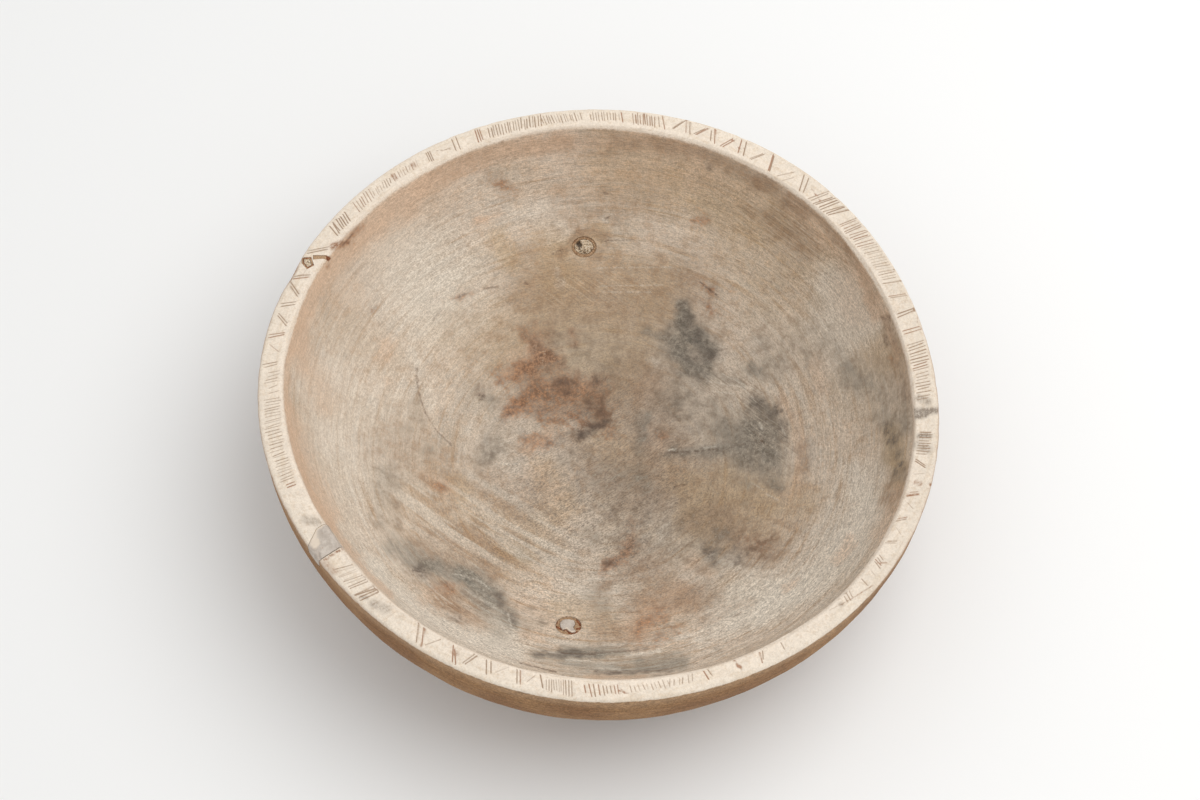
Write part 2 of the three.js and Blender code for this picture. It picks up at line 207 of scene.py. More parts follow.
# Rim cuts made one by one: angle and share at the inner end, the same at the outer end, strength, redness
SINGLE_CUTS = [
    (15.0, 0.925, 15.2, 0.978, 0.7, 1), (15.7, 0.922, 15.8, 0.978, 0.8, 1),
    (18.7, 0.922, 19.1, 0.978, 0.9, 0), (19.4, 0.925, 19.5, 0.978, 1.0, 0),
    (23.0, 0.925, 22.3, 0.977, 0.6, 0), (23.4, 0.922, 22.7, 0.975, 0.6, 1),
    (26.3, 0.925, 25.3, 0.982, 0.8, 0), (50.2, 0.932, 51.3, 0.98, 0.8, 0), (51.0, 0.93, 52.3, 0.98, 0.9, 0),
    (54.7, 0.927, 53.4, 0.955, 0.5, 0), (56.1, 0.93, 53.9, 0.972, 0.6, 0),
    (57.7, 0.932, 58.6, 0.98, 1.0, 0), (58.0, 0.934, 58.9, 0.985, 1.0, 1),
    (61.8, 0.94, 60.2, 0.975, 0.7, 0), (62.1, 0.94, 60.6, 0.972, 0.6, 0), (63.4, 0.94, 64.1, 0.986, 0.9, 0),
    (64.5, 0.943, 65.0, 0.986, 0.9, 1), (67.5, 0.942, 66.1, 0.976, 0.9, 1),
    (67.9, 0.944, 66.5, 0.978, 0.8, 1), (69.1, 0.945, 70.2, 0.996, 0.9, 1),
    (70.0, 0.95, 70.5, 0.982, 0.8, 0), (72.6, 0.955, 70.9, 0.987, 0.6, 0),
    (72.9, 0.953, 71.25, 0.985, 0.8, 1), (73.2, 0.955, 71.6, 0.982, 0.7, 0),
    (73.8, 0.95, 74.6, 0.995, 0.8, 0), (74.6, 0.953, 75.15, 0.995, 0.7, 1),
    (76.9, 0.957, 75.35, 0.99, 0.8, 0), (77.2, 0.955, 75.7, 0.987, 0.6, 0),
    (78.4, 0.95, 79.3, 0.992, 0.8, 1), (79.4, 0.953, 79.9, 0.985, 0.6, 0),
    (85.9, 0.955, 86.3, 0.987, 0.9, 1), (110.9, 0.957, 110.75, 0.994, 0.8, 1),
    (111.3, 0.955, 111.1, 0.995, 0.9, 1), (111.8, 0.953, 111.5, 0.995, 0.9, 1),
    (115.3, 0.953, 115.0, 0.998, 0.7, 0), (116.1, 0.955, 115.8, 0.995, 0.8, 0),
    (120.5, 0.958, 120.2, 0.99, 0.7, 0), (120.85, 0.958, 120.55, 0.99, 0.8, 0),
    (121.2, 0.96, 120.9, 0.99, 0.6, 0), (146.0, 0.955, 148.6, 0.998, 0.7, 0),
    (146.6, 0.955, 149.2, 0.998, 0.8, 0), (152.6, 0.955, 154.3, 0.999, 0.8, 0),
    (153.1, 0.955, 154.85, 0.999, 0.9, 1), (157.0, 0.956, 155.4, 0.994, 0.9, 0),
    (157.5, 0.958, 156.0, 0.992, 0.8, 0), (158.6, 0.955, 159.8, 0.992, 0.7, 0),
    (159.2, 0.955, 160.35, 0.99, 0.8, 0), (163.2, 0.955, 161.8, 0.988, 0.7, 0),
    (163.8, 0.955, 162.2, 0.99, 0.7, 0), (165.2, 0.955, 166.2, 0.995, 0.7, 1),
    (165.6, 0.955, 166.8, 0.995, 0.8, 1), (169.2, 0.955, 168.1, 0.986, 0.5, 1),
    (171.2, 0.955, 172.1, 0.996, 0.7, 0), (171.7, 0.955, 172.6, 0.988, 0.6, 0),
    (196.1, 0.932, 196.3, 0.954, 0.8, 1), (196.7, 0.93, 196.85, 0.954, 0.9, 1),
    (231.2, 0.905, 230.2, 0.94, 0.3, 0), (234.2, 0.905, 236.1, 0.962, 0.8, 0),
    (235.4, 0.905, 237.4, 0.968, 0.9, 1), (239.5, 0.915, 237.7, 0.955, 0.5, 0),
    (242.1, 0.915, 243.5, 0.966, 0.9, 1), (242.7, 0.925, 244.2, 0.968, 0.9, 1),
    (246.4, 0.915, 245.2, 0.955, 0.7, 0), (247.2, 0.912, 245.7, 0.955, 0.8, 0),
    (248.9, 0.92, 249.9, 0.965, 0.8, 0), (249.8, 0.92, 250.6, 0.957, 0.8, 0),
    (253.3, 0.92, 251.3, 0.95, 0.4, 0), (254.8, 0.92, 255.5, 0.966, 0.8, 0),
    (255.4, 0.918, 256.1, 0.966, 0.8, 1), (258.3, 0.93, 257.1, 0.956, 0.5, 0),
    (259.2, 0.925, 260.1, 0.966, 0.9, 0), (267.3, 0.945, 267.6, 0.968, 0.9, 1),
    (268.1, 0.94, 268.7, 0.982, 0.8, 1), (268.9, 0.94, 269.3, 0.98, 0.8, 0),
    (269.8, 0.942, 270.1, 0.976, 0.8, 1), (270.6, 0.944, 270.9, 0.978, 0.7, 0),
    (271.2, 0.945, 271.4, 0.97, 0.7, 0), (271.9, 0.945, 272.1, 0.97, 0.7, 0),
    (272.6, 0.945, 272.8, 0.972, 0.7, 1), (273.2, 0.944, 273.3, 0.972, 0.7, 1),
    (288.8, 0.945, 289.1, 0.976, 0.9, 1), (289.6, 0.945, 289.9, 0.967, 0.7, 0),
    (299.6, 0.945, 298.8, 0.99, 0.8, 1), (300.0, 0.955, 299.3, 0.98, 0.7, 0),
    (303.6, 0.96, 303.4, 0.985, 0.6, 0), (318.8, 0.96, 318.2, 0.987, 0.7, 0),
    (318.1, 0.963, 317.6, 0.984, 0.6, 0), (319.5, 0.96, 318.9, 0.982, 0.6, 0),
    (328.4, 0.963, 327.9, 0.98, 0.6, 0), (331.5, 0.96, 332.3, 0.984, 0.6, 0),
    (322.7, 0.965, 322.3, 0.993, 0.6, 0), (325.0, 0.972, 324.6, 0.99, 0.4, 0),
    (326.9, 0.962, 326.2, 0.99, 0.6, 0), (327.3, 0.96, 326.8, 0.985, 0.7, 1),
    (327.8, 0.962, 327.3, 0.98, 0.6, 0), (331.0, 0.955, 331.8, 0.982, 0.6, 0),
    (334.7, 0.96, 333.7, 0.985, 0.4, 0), (335.7, 0.95, 336.9, 0.976, 0.7, 0),
    (336.3, 0.952, 337.3, 0.976, 0.7, 1), (340.0, 0.96, 339.2, 0.982, 0.5, 0),
    (341.2, 0.95, 342.1, 0.98, 0.7, 1), (342.1, 0.955, 342.7, 0.978, 0.6, 1),
    (345.8, 0.95, 346.5, 0.98, 0.4, 0), (348.5, 0.945, 347.6, 0.976, 0.9, 0),
    (348.9, 0.945, 348.0, 0.974, 0.8, 0),
]

# Rows of like cuts: first and last angle at the inner end, how many, how much further round the outer
# end lies, share at the inner end, share at the outer end, strength, redness
CUT_ROWS = [
    (1.2, 6.4, 9, 0.4, 0.932, 0.968, 0.75, 0), (7.1, 8.3, 3, 0.45, 0.927, 0.974, 0.85, 1),
    (8.9, 12.5, 7, 0.45, 0.925, 0.975, 0.85, 0), (27.0, 34.6, 14, -0.75, 0.93, 0.975, 0.55, 0),
    (35.3, 40.9, 11, -0.8, 0.927, 0.977, 0.75, 1), (43.6, 48.7, 9, -1.4, 0.926, 0.982, 0.95, 0),
    (80.2, 84.0, 10, 0.4, 0.954, 0.988, 0.8, 1), (86.6, 91.5, 11, 0.2, 0.96, 0.984, 0.6, 0),
    (93.0, 99.8, 15, 0.3, 0.961, 0.985, 0.65, 0), (100.3, 109.5, 20, -0.25, 0.958, 0.991, 0.75, 0),
    (123.4, 128.4, 10, -0.3, 0.965, 0.985, 0.55, 1), (129.3, 133.0, 8, -0.45, 0.963, 0.984, 0.6, 0),
    (133.6, 137.2, 7, -0.6, 0.96, 0.991, 0.75, 1), (139.7, 143.3, 8, -0.7, 0.96, 0.993, 1.0, 0),
    (172.9, 175.0, 4, 0.7, 0.945, 0.98, 0.55, 0), (176.0, 176.9, 2, 0.6, 0.945, 0.975, 0.6, 0),
    (178.4, 185.4, 13, 0.6, 0.937, 0.98, 0.6, 0), (186.2, 189.6, 6, 0.5, 0.935, 0.975, 0.6, 0),
    (190.2, 195.2, 9, 0.4, 0.93, 0.968, 0.55, 0), (216.6, 221.2, 9, -1.0, 0.9, 0.955, 0.6, 0),
    (222.6, 224.3, 4, -1.3, 0.9, 0.958, 0.85, 0), (225.6, 229.2, 5, -0.3, 0.915, 0.95, 0.3, 0),
    (260.5, 263.0, 7, 0.4, 0.935, 0.973, 0.6, 0), (263.4, 264.9, 4, 0.4, 0.93, 0.984, 0.7, 0),
    (275.4, 282.0, 10, 0.2, 0.948, 0.97, 0.55, 0), (282.6, 286.6, 6, -0.4, 0.948, 0.972, 0.6, 0),
    (350.0, 354.5, 9, 0.15, 0.945, 0.975, 0.75, 0),
]

# Strokes that cross the cuts or run along the rim. They get no columns of their own in the mesh
CROSS_STROKES = [
    (46.8, 0.945, 49.4, 0.956, 0.7, 1), (63.8, 0.961, 64.9, 0.958, 0.8, 0),
    (64.0, 0.984, 65.4, 0.986, 0.6, 0), (16.7, 0.972, 18.0, 0.979, 0.5, 1),
    (20.2, 0.974, 21.8, 0.98, 0.3, 1), (20.3, 0.938, 22.2, 0.948, 0.3, 0),
    (116.9, 0.967, 119.2, 0.981, 0.5, 0), (116.6, 0.972, 118.6, 0.97, 0.4, 0),
    (66.0, 0.974, 67.0, 0.971, 0.8, 1), (273.4, 0.962, 274.9, 0.974, 0.8, 1),
    (273.9, 0.958, 274.3, 0.972, 0.7, 1), (326.9, 0.974, 327.8, 0.995, 0.7, 1),
    (316.0, 0.975, 317.3, 0.979, 0.6, 0), (314.2, 0.964, 318.5, 0.985, 0.45, 0),
    (318.5, 0.985, 323.0, 1.005, 0.6, 1), (294.6, 0.945, 294.9, 0.985, 0.9, 1),
    (294.9, 0.945, 295.2, 0.985, 0.9, 1), (331.2, 1.0, 335.5, 1.004, 0.3, 1),
    (151.6, 0.972, 153.4, 0.975, 0.4, 1), (228.2, 0.928, 228.9, 0.934, 0.4, 0),
]

CUT_HALF_WIDTH = 0.7
CUT_DEPTH = 0.42
COLUMN_GAP = 0.12
# Rings begin where no cut crosses the rim
FIRST_AZIMUTH = math.radians(208)

# How much a hand varies the cuts of a row: the share of a step, then the least and most of each reading
CUT_SEED = 11
STEP_JITTER = 0.16
LEAN_JITTER = (0.75, 1.25)
INNER_END_JITTER = (-0.004, 0.003)
OUTER_END_JITTER = (-0.005, 0.004)
STRENGTH_JITTER = (0.7, 1.15)
LEAST_REDNESS = 0.3


def rim_segments(readings):
    """Ends of cuts on the rim's plane, with their strength and redness."""
    rows = [np.concatenate([rim_place(a, s), rim_place(b, t), [strength, red]])
            for a, s, b, t, strength, red in readings]
    return np.array(rows)


def cut_readings():
    """All cuts that cross the rim, the rows with a little of a hand's unevenness."""
    random = np.random.default_rng(CUT_SEED)
    readings = list(SINGLE_CUTS)
    for first, last, count, lean, low, high, strength, red in CUT_ROWS:
        step = (last - first) / (count - 1)
        for i in range(count):
            angle = first + i * step + random.uniform(-STEP_JITTER, STEP_JITTER) * step
            tilt = lean * random.uniform(*LEAN_JITTER)
            inner_end = low + random.uniform(*INNER_END_JITTER)
            outer_end = high + random.uniform(*OUTER_END_JITTER)
            force = strength * random.uniform(*STRENGTH_JITTER)
            redness = red * random.uniform(LEAST_REDNESS, 1)
            readings.append((angle, inner_end, angle + tilt, outer_end, force, redness))
    return readings


cuts = rim_segments(cut_readings())
strokes_across = rim_segments(CROSS_STROKES)


def segment_distance(places, start, end):
    along = end - start
    share = np.clip(((places - start) @ along) / max(along @ along, 1e-9), 0, 1)
    return np.linalg.norm(places - start - share[:, None] * along, axis=1)


def cut_cover(places):
    """How deep each place of the rim is in a cut, and how reddish it is: 1 is the middle of a strong cut."""
    cover = np.zeros(len(places))
    red = np.zeros(len(places))
    for row in np.concatenate([cuts, strokes_across]):
        distance = segment_distance(places, row[0:2], row[2:4])
        share = row[4] * np.clip(1 - distance / CUT_HALF_WIDTH, 0, 1)
        cover = np.maximum(cover, share)
        red = np.maximum(red, share * row[5])
    return cover, red


def flat_edges(azimuth):
    """Radius at which the flat of the rim begins and ends."""
    inner = (INNER_RIM_RADIUS + INNER_EDGE_ROUND) * inside_scale(azimuth, 0)
    outer = (RIM_RADIUS - OUTER_EDGE_ROUND) * outside_scale(azimuth, 0)
    return inner, outer


def wrapped(azimuth):
    return (azimuth - FIRST_AZIMUTH) % (2 * math.pi) + FIRST_AZIMUTH


def cut_columns(rows):
    """Azimuths of the rim's columns at each row across it. Each cut has three, which follow its lean."""
    columns = []
    for row in cuts:
        azimuth = wrapped(np.array([math.atan2(row[1], row[0]), math.atan2(row[3], row[2])]))
        inner, outer = flat_edges(azimuth)
        reach = np.hypot(row[[0, 2]], row[[1, 3]])
        across = np.clip((reach - inner) / (outer - inner), 0, 1)
        middle = np.interp(rows, across, azimuth)
        for side in (-1, 0, 1):
            columns.append(middle + side * CUT_HALF_WIDTH / RIM_RADIUS)
    table = np.sort(np.array(columns).T, axis=1)
    filled = []
    count = table.shape[1]
    for i in range(count):
        start = table[:, i]
        end = table[:, i + 1] if i + 1 < count else table[:, 0] + 2 * math.pi
        parts = max(1, math.ceil((end - start).mean() * RIM_RADIUS / STEP_RIM))
        filled.extend(start + (end - start) * k / parts for k in range(parts))
    table = np.array(filled).T
    spread = COLUMN_GAP / RIM_RADIUS * np.arange(table.shape[1])
    return np.maximum.accumulate(table - spread, axis=1) + spread


# Surface unevenness

SWELL_PARTS = 14
SWELL_LENGTHS = (0.7, 1.5)
SWELL_REACH = 1.5


def swell(points, length, seed):
    """Smooth random unevenness, mostly between -1 and 1, whose swells are about a length apart."""
    random = np.random.default_rng(seed)
    total = np.zeros(len(points))
    for _ in range(SWELL_PARTS):
        direction = random.normal(size=3)
        direction /= np.linalg.norm(direction)
        pace = 2 * math.pi / (length * random.uniform(*SWELL_LENGTHS))
        total += np.sin(points @ direction * pace + random.uniform(0, 2 * math.pi))
    return total / math.sqrt(SWELL_PARTS) / SWELL_REACH


def uneven(points, level, swells, folded=False):
    """A level with swells on it, each given by its height, length and seed. Folded ones only rise."""
    total = level
    for height, length, seed in swells:
        wave = swell(points, length, seed)
        total = total + height * (np.abs(wave) if folded else wave)
    return total


def profile_by_arc(radius_at, depths, step):
    """Radius, depth and direction at even steps along a profile."""
    radius = radius_at(depths)
    arc = np.concatenate([[0], np.cumsum(np.hypot(np.diff(radius), np.diff(depths)))])
    count = round(arc[-1] / step)
    at = np.linspace(0, arc[-1], count + 1)
    r, d = np.interp(at, arc, radius), np.interp(at, arc, depths)
    along_r, along_d = np.gradient(r), np.gradient(d)
    length = np.hypot(along_r, along_d)
    return r, d, along_r / length, along_d / length


def even_ring(radius, step):
    count = max(FEWEST_IN_RING, round(2 * math.pi * radius / step))
    return FIRST_AZIMUTH + 2 * math.pi * np.arange(count) / count


def radial(azimuth):
    return np.stack([np.cos(azimuth), np.sin(azimuth), np.zeros_like(azimuth)], axis=1)


UP = np.array([0.0, 0.0, 1.0])

# How far each surface is worn below the plain form, in millimetres, and where its wear rises and falls
OUTSIDE_SINK = 0.16
OUTSIDE_HOLLOW = 0.45
DEEPEST_HOLLOW = 1.6
OUTSIDE_LEVEL = 0.5
OUTSIDE_SWELLS = [(0.5, 34, 3), (0.3, 11, 4)]
SINK_BEGINS = 6.0
OUTER_EDGE_WEAR = 0.25
OUTER_EDGE_SWELL = (9, 5)
RIM_SINK = 0.12
RIM_SWELLS = [(0.1, 16, 6)]
INNER_EDGE_SINK = 0.1
INNER_EDGE_WEAR = 0.2
INNER_EDGE_SWELL = (7, 7)
INSIDE_SWELLS = [(0.35, 46, 8), (0.16, 15, 9)]
EDGE_DENT = {"direction": 158.0, "half_width": 3.2, "reach": 9.0, "depth": 1.3}


def dent_depth(azimuth, depth):
    """How deep the one dent in the rim's outer edge is."""
    turn = np.degrees(np.angle(np.exp(1j * (azimuth - math.radians(EDGE_DENT["direction"])))))
    share = np.exp(-(turn / EDGE_DENT["half_width"]) ** 2) * np.exp(-(depth / EDGE_DENT["reach"]) ** 2)
    return EDGE_DENT["depth"] * share


def outside_ring(radius, depth, azimuth, along_r, along_d):
    """A ring of the outside, sunk a little by the hand-worked unevenness, never proud of the form."""
    points = surface_points(radius, depth, azimuth, outside_scale)
    hollow = uneven(points, OUTSIDE_LEVEL, OUTSIDE_SWELLS)
    sink = OUTSIDE_SINK + OUTSIDE_HOLLOW * np.clip(hollow, 0, DEEPEST_HOLLOW)
    sink = sink * np.clip((HEIGHT - depth) / SINK_BEGINS, 0, 1) + dent_depth(azimuth, depth)
    inward = -radial(azimuth) * along_d + UP * along_r
    return points + sink[:, None] * inward


def underside_rings():
    """The flat foot from its middle to its softened edge."""
    rings = []
    for radius in np.linspace(0, FOOT_RADIUS - FOOT_EDGE_ROUND, FOOT_RINGS + 1)[1:]:
        azimuth = even_ring(radius, STEP_OUTSIDE * 2)
        depth = np.full(len(azimuth), HEIGHT)
        rings.append((azimuth, surface_points(radius, depth, azimuth, outside_scale)))
    return rings


def outside_rings():
    depths = np.linspace(OUTER_EDGE_ROUND, HEIGHT - FOOT_EDGE_ROUND, OUTSIDE_SAMPLES)
    r, d, along_r, along_d = profile_by_arc(outer_radius, depths, STEP_OUTSIDE)
    rings = []
    for radius, depth, ar, ad in reversed(list(zip(r, d, along_r, along_d))):
        azimuth = even_ring(radius, STEP_OUTSIDE)
        rings.append((azimuth, outside_ring(radius, np.full(len(azimuth), depth), azimuth, ar, ad)))
    return rings


def outer_edge_rings():
    """The rounded outer edge of the rim, from the wall up to the flat."""
    rings = []
    azimuth = even_ring(RIM_RADIUS, STEP_EDGE)
    for i in range(1, EDGE_ROWS + 1):
        turn = i / (EDGE_ROWS + 1) * math.pi / 2
        radius = RIM_RADIUS - OUTER_EDGE_ROUND * (1 - math.cos(turn))
        depth = np.full(len(azimuth), OUTER_EDGE_ROUND * (1 - math.sin(turn)))
        points = surface_points(radius, depth, azimuth, outside_scale)
        wear = OUTER_EDGE_WEAR * np.clip(swell(points, *OUTER_EDGE_SWELL), 0, 1)
        worn = OUTSIDE_SINK + wear + dent_depth(azimuth, depth)
        inward = -radial(azimuth) * math.cos(turn) - UP * math.sin(turn)
        rings.append((azimuth, points + worn[:, None] * inward))
    return rings


def rim_rings():
    """The flat of the rim from its outer to its inner edge, with the cuts sunk into it."""
    rows = np.linspace(0, 1, RIM_ROWS)
    table = cut_columns(rows)
    rings = []
    for share, azimuth in reversed(list(zip(rows, table))):
        inner, outer = flat_edges(azimuth)
        outer = outer - dent_depth(azimuth, 0 * azimuth)
        radius = inner + (outer - inner) * share
        points = radial(azimuth) * radius[:, None] + UP * HEIGHT
        cover, _ = cut_cover(points[:, :2])
        lower = uneven(points, RIM_SINK, RIM_SWELLS) + CUT_DEPTH * cover
        rings.append((azimuth, points - UP * lower[:, None]))
    return rings


def inner_edge_rings():
    """The rounded inner edge of the rim, from the flat down to the inside."""
    rings = []
    azimuth = even_ring(INNER_RIM_RADIUS, STEP_EDGE)
    for i in range(1, EDGE_ROWS):
        turn = i / EDGE_ROWS * math.pi / 2
        radius = INNER_RIM_RADIUS + INNER_EDGE_ROUND * (1 - math.sin(turn))
        depth = np.full(len(azimuth), INNER_EDGE_ROUND * (1 - math.cos(turn)))
        points = surface_points(radius, depth, azimuth, inside_scale)
        worn = INNER_EDGE_SINK + INNER_EDGE_WEAR * np.clip(swell(points, *INNER_EDGE_SWELL), 0, 1)
        into_wood = radial(azimuth) * math.sin(turn) - UP * math.cos(turn)
        rings.append((azimuth, points + worn[:, None] * into_wood))
    return rings


def inside_rings():
    """The inside from the rim's inner edge down to the ring round the middle of the floor."""
    turn = np.linspace(0, math.pi / 2, INSIDE_SAMPLES)
    depths = INNER_EDGE_ROUND + (CAVITY_DEPTH - INNER_EDGE_ROUND) * np.sin(turn)
    r, d, along_r, along_d = profile_by_arc(inner_radius, depths, STEP_INSIDE)
    rings = []
    for radius, depth, ar, ad in zip(r[:-1], d[:-1], along_r[:-1], along_d[:-1]):
        azimuth = even_ring(radius, STEP_INSIDE)
        points = surface_points(radius, np.full(len(azimuth), depth), azimuth, inside_scale)
        into_wood = radial(azimuth) * ad + UP * ar
        rings.append((azimuth, points + inside_relief(points)[:, None] * into_wood))
    return rings


# The raised edge of the crack on the floor, in the picture, and how far it spreads and rises
RAISED_CRACK = [(664, 452), (676, 454), (688, 450), (704, 452), (716, 448), (727, 455)]
RAISED_REACH = 4.5
RAISED_HEIGHT = 0.9


def path_distance(places, path):
    path = np.array(path, float)
    return np.min([segment_distance(places, a, b) for a, b in zip(path[:-1], path[1:])], axis=0)


def inside_relief(points):
    """How far the inside is scraped below the plain form: soft hollows, and the raised crack."""
    ridge = np.exp(-(path_distance(picture_places(points), RAISED_CRACK) / RAISED_REACH) ** 2)
    return uneven(points, 0.0, INSIDE_SWELLS) - RAISED_HEIGHT * ridge


# Joining rings into one closed mesh

def join_rings(rings, first_point, last_point):
    """One closed surface through the rings, with a single point at each end."""
    sizes = [1] + [len(azimuth) for azimuth, _ in rings] + [1]
    starts = np.concatenate([[0], np.cumsum(sizes)])
    triangles = []
    for k in range(len(rings) - 1):
        triangles.append(band(rings[k][0], rings[k + 1][0], starts[k + 1], starts[k + 2]))
    count = len(rings[0][0])
    around = np.arange(count)
    triangles.append(np.stack([0 * around, 1 + (around + 1) % count, 1 + around], axis=1))
    count = len(rings[-1][0])
    around = np.arange(count)
    last = starts[-1] - 1
    ring = starts[len(rings)]
    triangles.append(np.stack([ring + around, ring + (around + 1) % count, 0 * around + last], axis=1))
    points = np.concatenate([[first_point]] + [points for _, points in rings] + [[last_point]])
    return points, np.concatenate(triangles)


def band(lower, upper, lower_start, upper_start):
    """Triangles between two rings. Rings of one size are joined point to point, others by azimuth."""
    n, m = len(lower), len(upper)
    if n == m:
        i = np.arange(n)
        j = (i + 1) % n
        return np.concatenate([
            np.stack([lower_start + i, lower_start + j, upper_start + i], axis=1),
            np.stack([lower_start + j, upper_start + j, upper_start + i], axis=1),
        ])
    i = np.arange(n)
    beside = (np.searchsorted(upper, lower, side="left") - 1) % m
    first = np.stack([lower_start + (i - 1) % n, lower_start + i, upper_start + beside], axis=1)
    j = np.arange(m)
    beside = (np.searchsorted(lower, upper, side="right") - 1) % n
    second = np.stack([lower_start + beside, upper_start + j, upper_start + (j - 1) % m], axis=1)
    return np.concatenate([first, second])


def new_object(name, points, faces):
    mesh = bpy.data.meshes.new(name)
    mesh.from_pydata(np.asarray(points, float).tolist(), [], [list(map(int, f)) for f in faces])
    mesh.validate()
    obj = bpy.data.objects.new(name, mesh)
    bpy.context.scene.collection.objects.link(obj)
    return obj


def blank_bowl():
    """The whole carved form as one closed mesh, before the pockets are cut."""
    rings = underside_rings() + outside_rings() + outer_edge_rings()
    rings += rim_rings() + inner_edge_rings() + inside_rings()
    middle = surface_points(np.zeros(1), np.full(1, CAVITY_DEPTH), np.zeros(1), inside_scale)[0]
    foot = surface_points(np.zeros(1), np.full(1, HEIGHT), np.zeros(1), outside_scale)[0]
    points, triangles = join_rings(rings, foot, middle)
    return new_object("bowl_body_carved", to_scene(points), triangles)


# Pockets and the pieces that sit in them. A frame is three axes and an origin; the third axis leaves the wood

class Frame:
    def __init__(self, first, second, third, origin):
        self.axes = np.array([first, second, third])
        self.origin = origin

    def out(self, local):
        return np.asarray(local) @ self.axes + self.origin

    def local(self, points):
        return (points - self.origin) @ self.axes.T


def inside_point(azimuth, depth):
    radius, depth, azimuth = inner_radius(depth), np.full(1, depth), np.full(1, azimuth)
    return surface_points(radius, depth, azimuth, inside_scale)[0]


def unit(vector):
    return vector / np.linalg.norm(vector)


def inside_frame(direction, above_floor):
    azimuth = math.radians(direction)
    depth = CAVITY_DEPTH - above_floor
    nudge = 0.01
    origin = inside_point(azimuth, depth)
    around = inside_point(azimuth + nudge, depth) - origin
    upwards = inside_point(azimuth, depth - nudge) - origin
    normal = unit(np.cross(upwards, around))
    across = np.array([1.0, 0.0, 0.0])
    right = unit(across - (across @ normal) * normal)
    return Frame(right, np.cross(normal, right), normal, origin)


def rim_frame(direction, outwards=0.0):
    azimuth = math.radians(direction)
    outward = np.array([math.cos(azimuth), math.sin(azimuth), 0.0])
    along = np.array([-math.sin(azimuth), math.cos(azimuth), 0.0])
    return Frame(outward, along, UP, inside_point(azimuth, 0.0) + outwards * outward)


def oval(half_width, half_height, count=40):
    turn = np.arange(count) / count * 2 * math.pi
    return np.stack([half_width * np.cos(turn), half_height * np.sin(turn)], axis=1)


def signed_area(outline):
    after = np.roll(outline, -1, axis=0)
    return 0.5 * np.sum(outline[:, 0] * after[:, 1] - outline[:, 1] * after[:, 0])


def outset(outline, distance):
    """Moves every side of a closed outline out, or in for a distance below zero."""
    outline = np.asarray(outline, float)
    sense = 1 if signed_area(outline) > 0 else -1
    moved = []
    for before, corner, after in zip(np.roll(outline, 1, axis=0), outline, np.roll(outline, -1, axis=0)):
        side_in, side_out = unit(corner - before), unit(after - corner)
        bisector = unit(side_in + side_out)
        outward = np.array([bisector[1], -bisector[0]]) * sense
        turn = outward[0] * side_out[1] - outward[1] * side_out[0]
        moved.append(corner + outward * distance / abs(turn))
    return np.array(moved)


def plug(name, outline, depth, narrowing, frame):
    """A closed prism whose outline lies at the surface, narrowed towards its sunk end."""
    outline = np.asarray(outline, float)
    if signed_area(outline) < 0:
        outline = outline[::-1]
    count = len(outline)
    points = []
    for z in (-depth, OVERSHOOT):
        scale = 1 + narrowing * z / depth
        points.append(np.column_stack([outline * scale, np.full(count, z)]))
    around = list(range(count))
    faces = [around[::-1], [count + i for i in around]]
    faces += [[i, (i + 1) % count, count + (i + 1) % count, count + i] for i in around]
    return new_object(name, to_scene(frame.out(np.concatenate(points))), faces)


def apply_modifiers(obj):
    shape = obj.evaluated_get(bpy.context.evaluated_depsgraph_get())
    mesh = bpy.data.meshes.new_from_object(shape)
    obj.modifiers.clear()
    obj.data = mesh


def combine(obj, other, operation):
    modifier = obj.modifiers.new(operation, "BOOLEAN")
    modifier.operation = operation
    modifier.solver = "MANIFOLD"
    modifier.object = other
    apply_modifiers(obj)


def refine(obj, voxel):
    modifier = obj.modifiers.new("refine", "REMESH")
    modifier.mode = "VOXEL"
    modifier.voxel_size = voxel * MM
    apply_modifiers(obj)


def mesh_points(obj):
    """The object's points in the form's millimetres."""
    flat = np.empty(len(obj.data.vertices) * 3, np.float32)
    obj.data.vertices.foreach_get("co", flat)
    return flat.reshape(-1, 3).astype(float) / MM - offset


def move_points(obj, points):
    obj.data.vertices.foreach_set("co", to_scene(points).astype(np.float32).ravel())
    obj.data.update()


DEEPEST_PRESS = 0.85


def press_in(obj, frame, depth, relief):
    """Presses a piece's open face into the wood by relief(points, places), and its sunk end by nothing."""
    points = mesh_points(obj)
    local = frame.local(points)
    share = np.clip((local[:, 2] + depth) / depth, 0, 1) ** 2
    press = relief(points, picture_places(points)) * share
    local[:, 2] -= np.minimum(press, DEEPEST_PRESS * depth)
    move_points(obj, frame.out(local))


# How much closer than its clearance each kind of piece fills its pocket
WALL_HEART_FIT = 0.06
FLOOR_PUTTY_FIT = 0.1
KNOT_FIT = 0.15
SEAM_FIT = 0.2

# Sizes of the small pieces, as the part's source has them
WALL_KNOT = {"half_width": 8.2, "half_height": 6.8, "depth": 9.0, "narrowing": 0.25}
WALL_BARK_THICKNESS = 1.6
FLOOR_KNOT = {"half_width": 7.8, "half_height": 8.4, "depth": 7.0, "narrowing": 0.1}
FLOOR_PUTTY_DEPTH = 4.0
FLOOR_PUTTY_OUTLINE = [
    (-4.8, -1.2), (-5.2, 2.4), (-3.4, 5.4), (0.4, 6.0), (3.4, 4.8), (4.0, 1.8), (2.8, -0.6),
    (3.4, -2.8), (4.6, -4.8), (2.2, -5.8), (0.2, -4.2), (-1.2, -2.6), (-3.4, -3.4),
]
CRACK_WIDTH = 0.7
RIM_PUTTY_DEPTH = 8.0
RIM_PUTTY_INNER_LENGTH = 18.0
RIM_PUTTY_OUTER_LENGTH = 8.0
RIM_PUTTY_SHOULDER = 5.0
RIM_KNOT_OUTLINE = [(5.1, -1.4), (3.3, 2.2), (-1.9, 4.6), (-4.3, 0.6), (0.2, -3.9)]
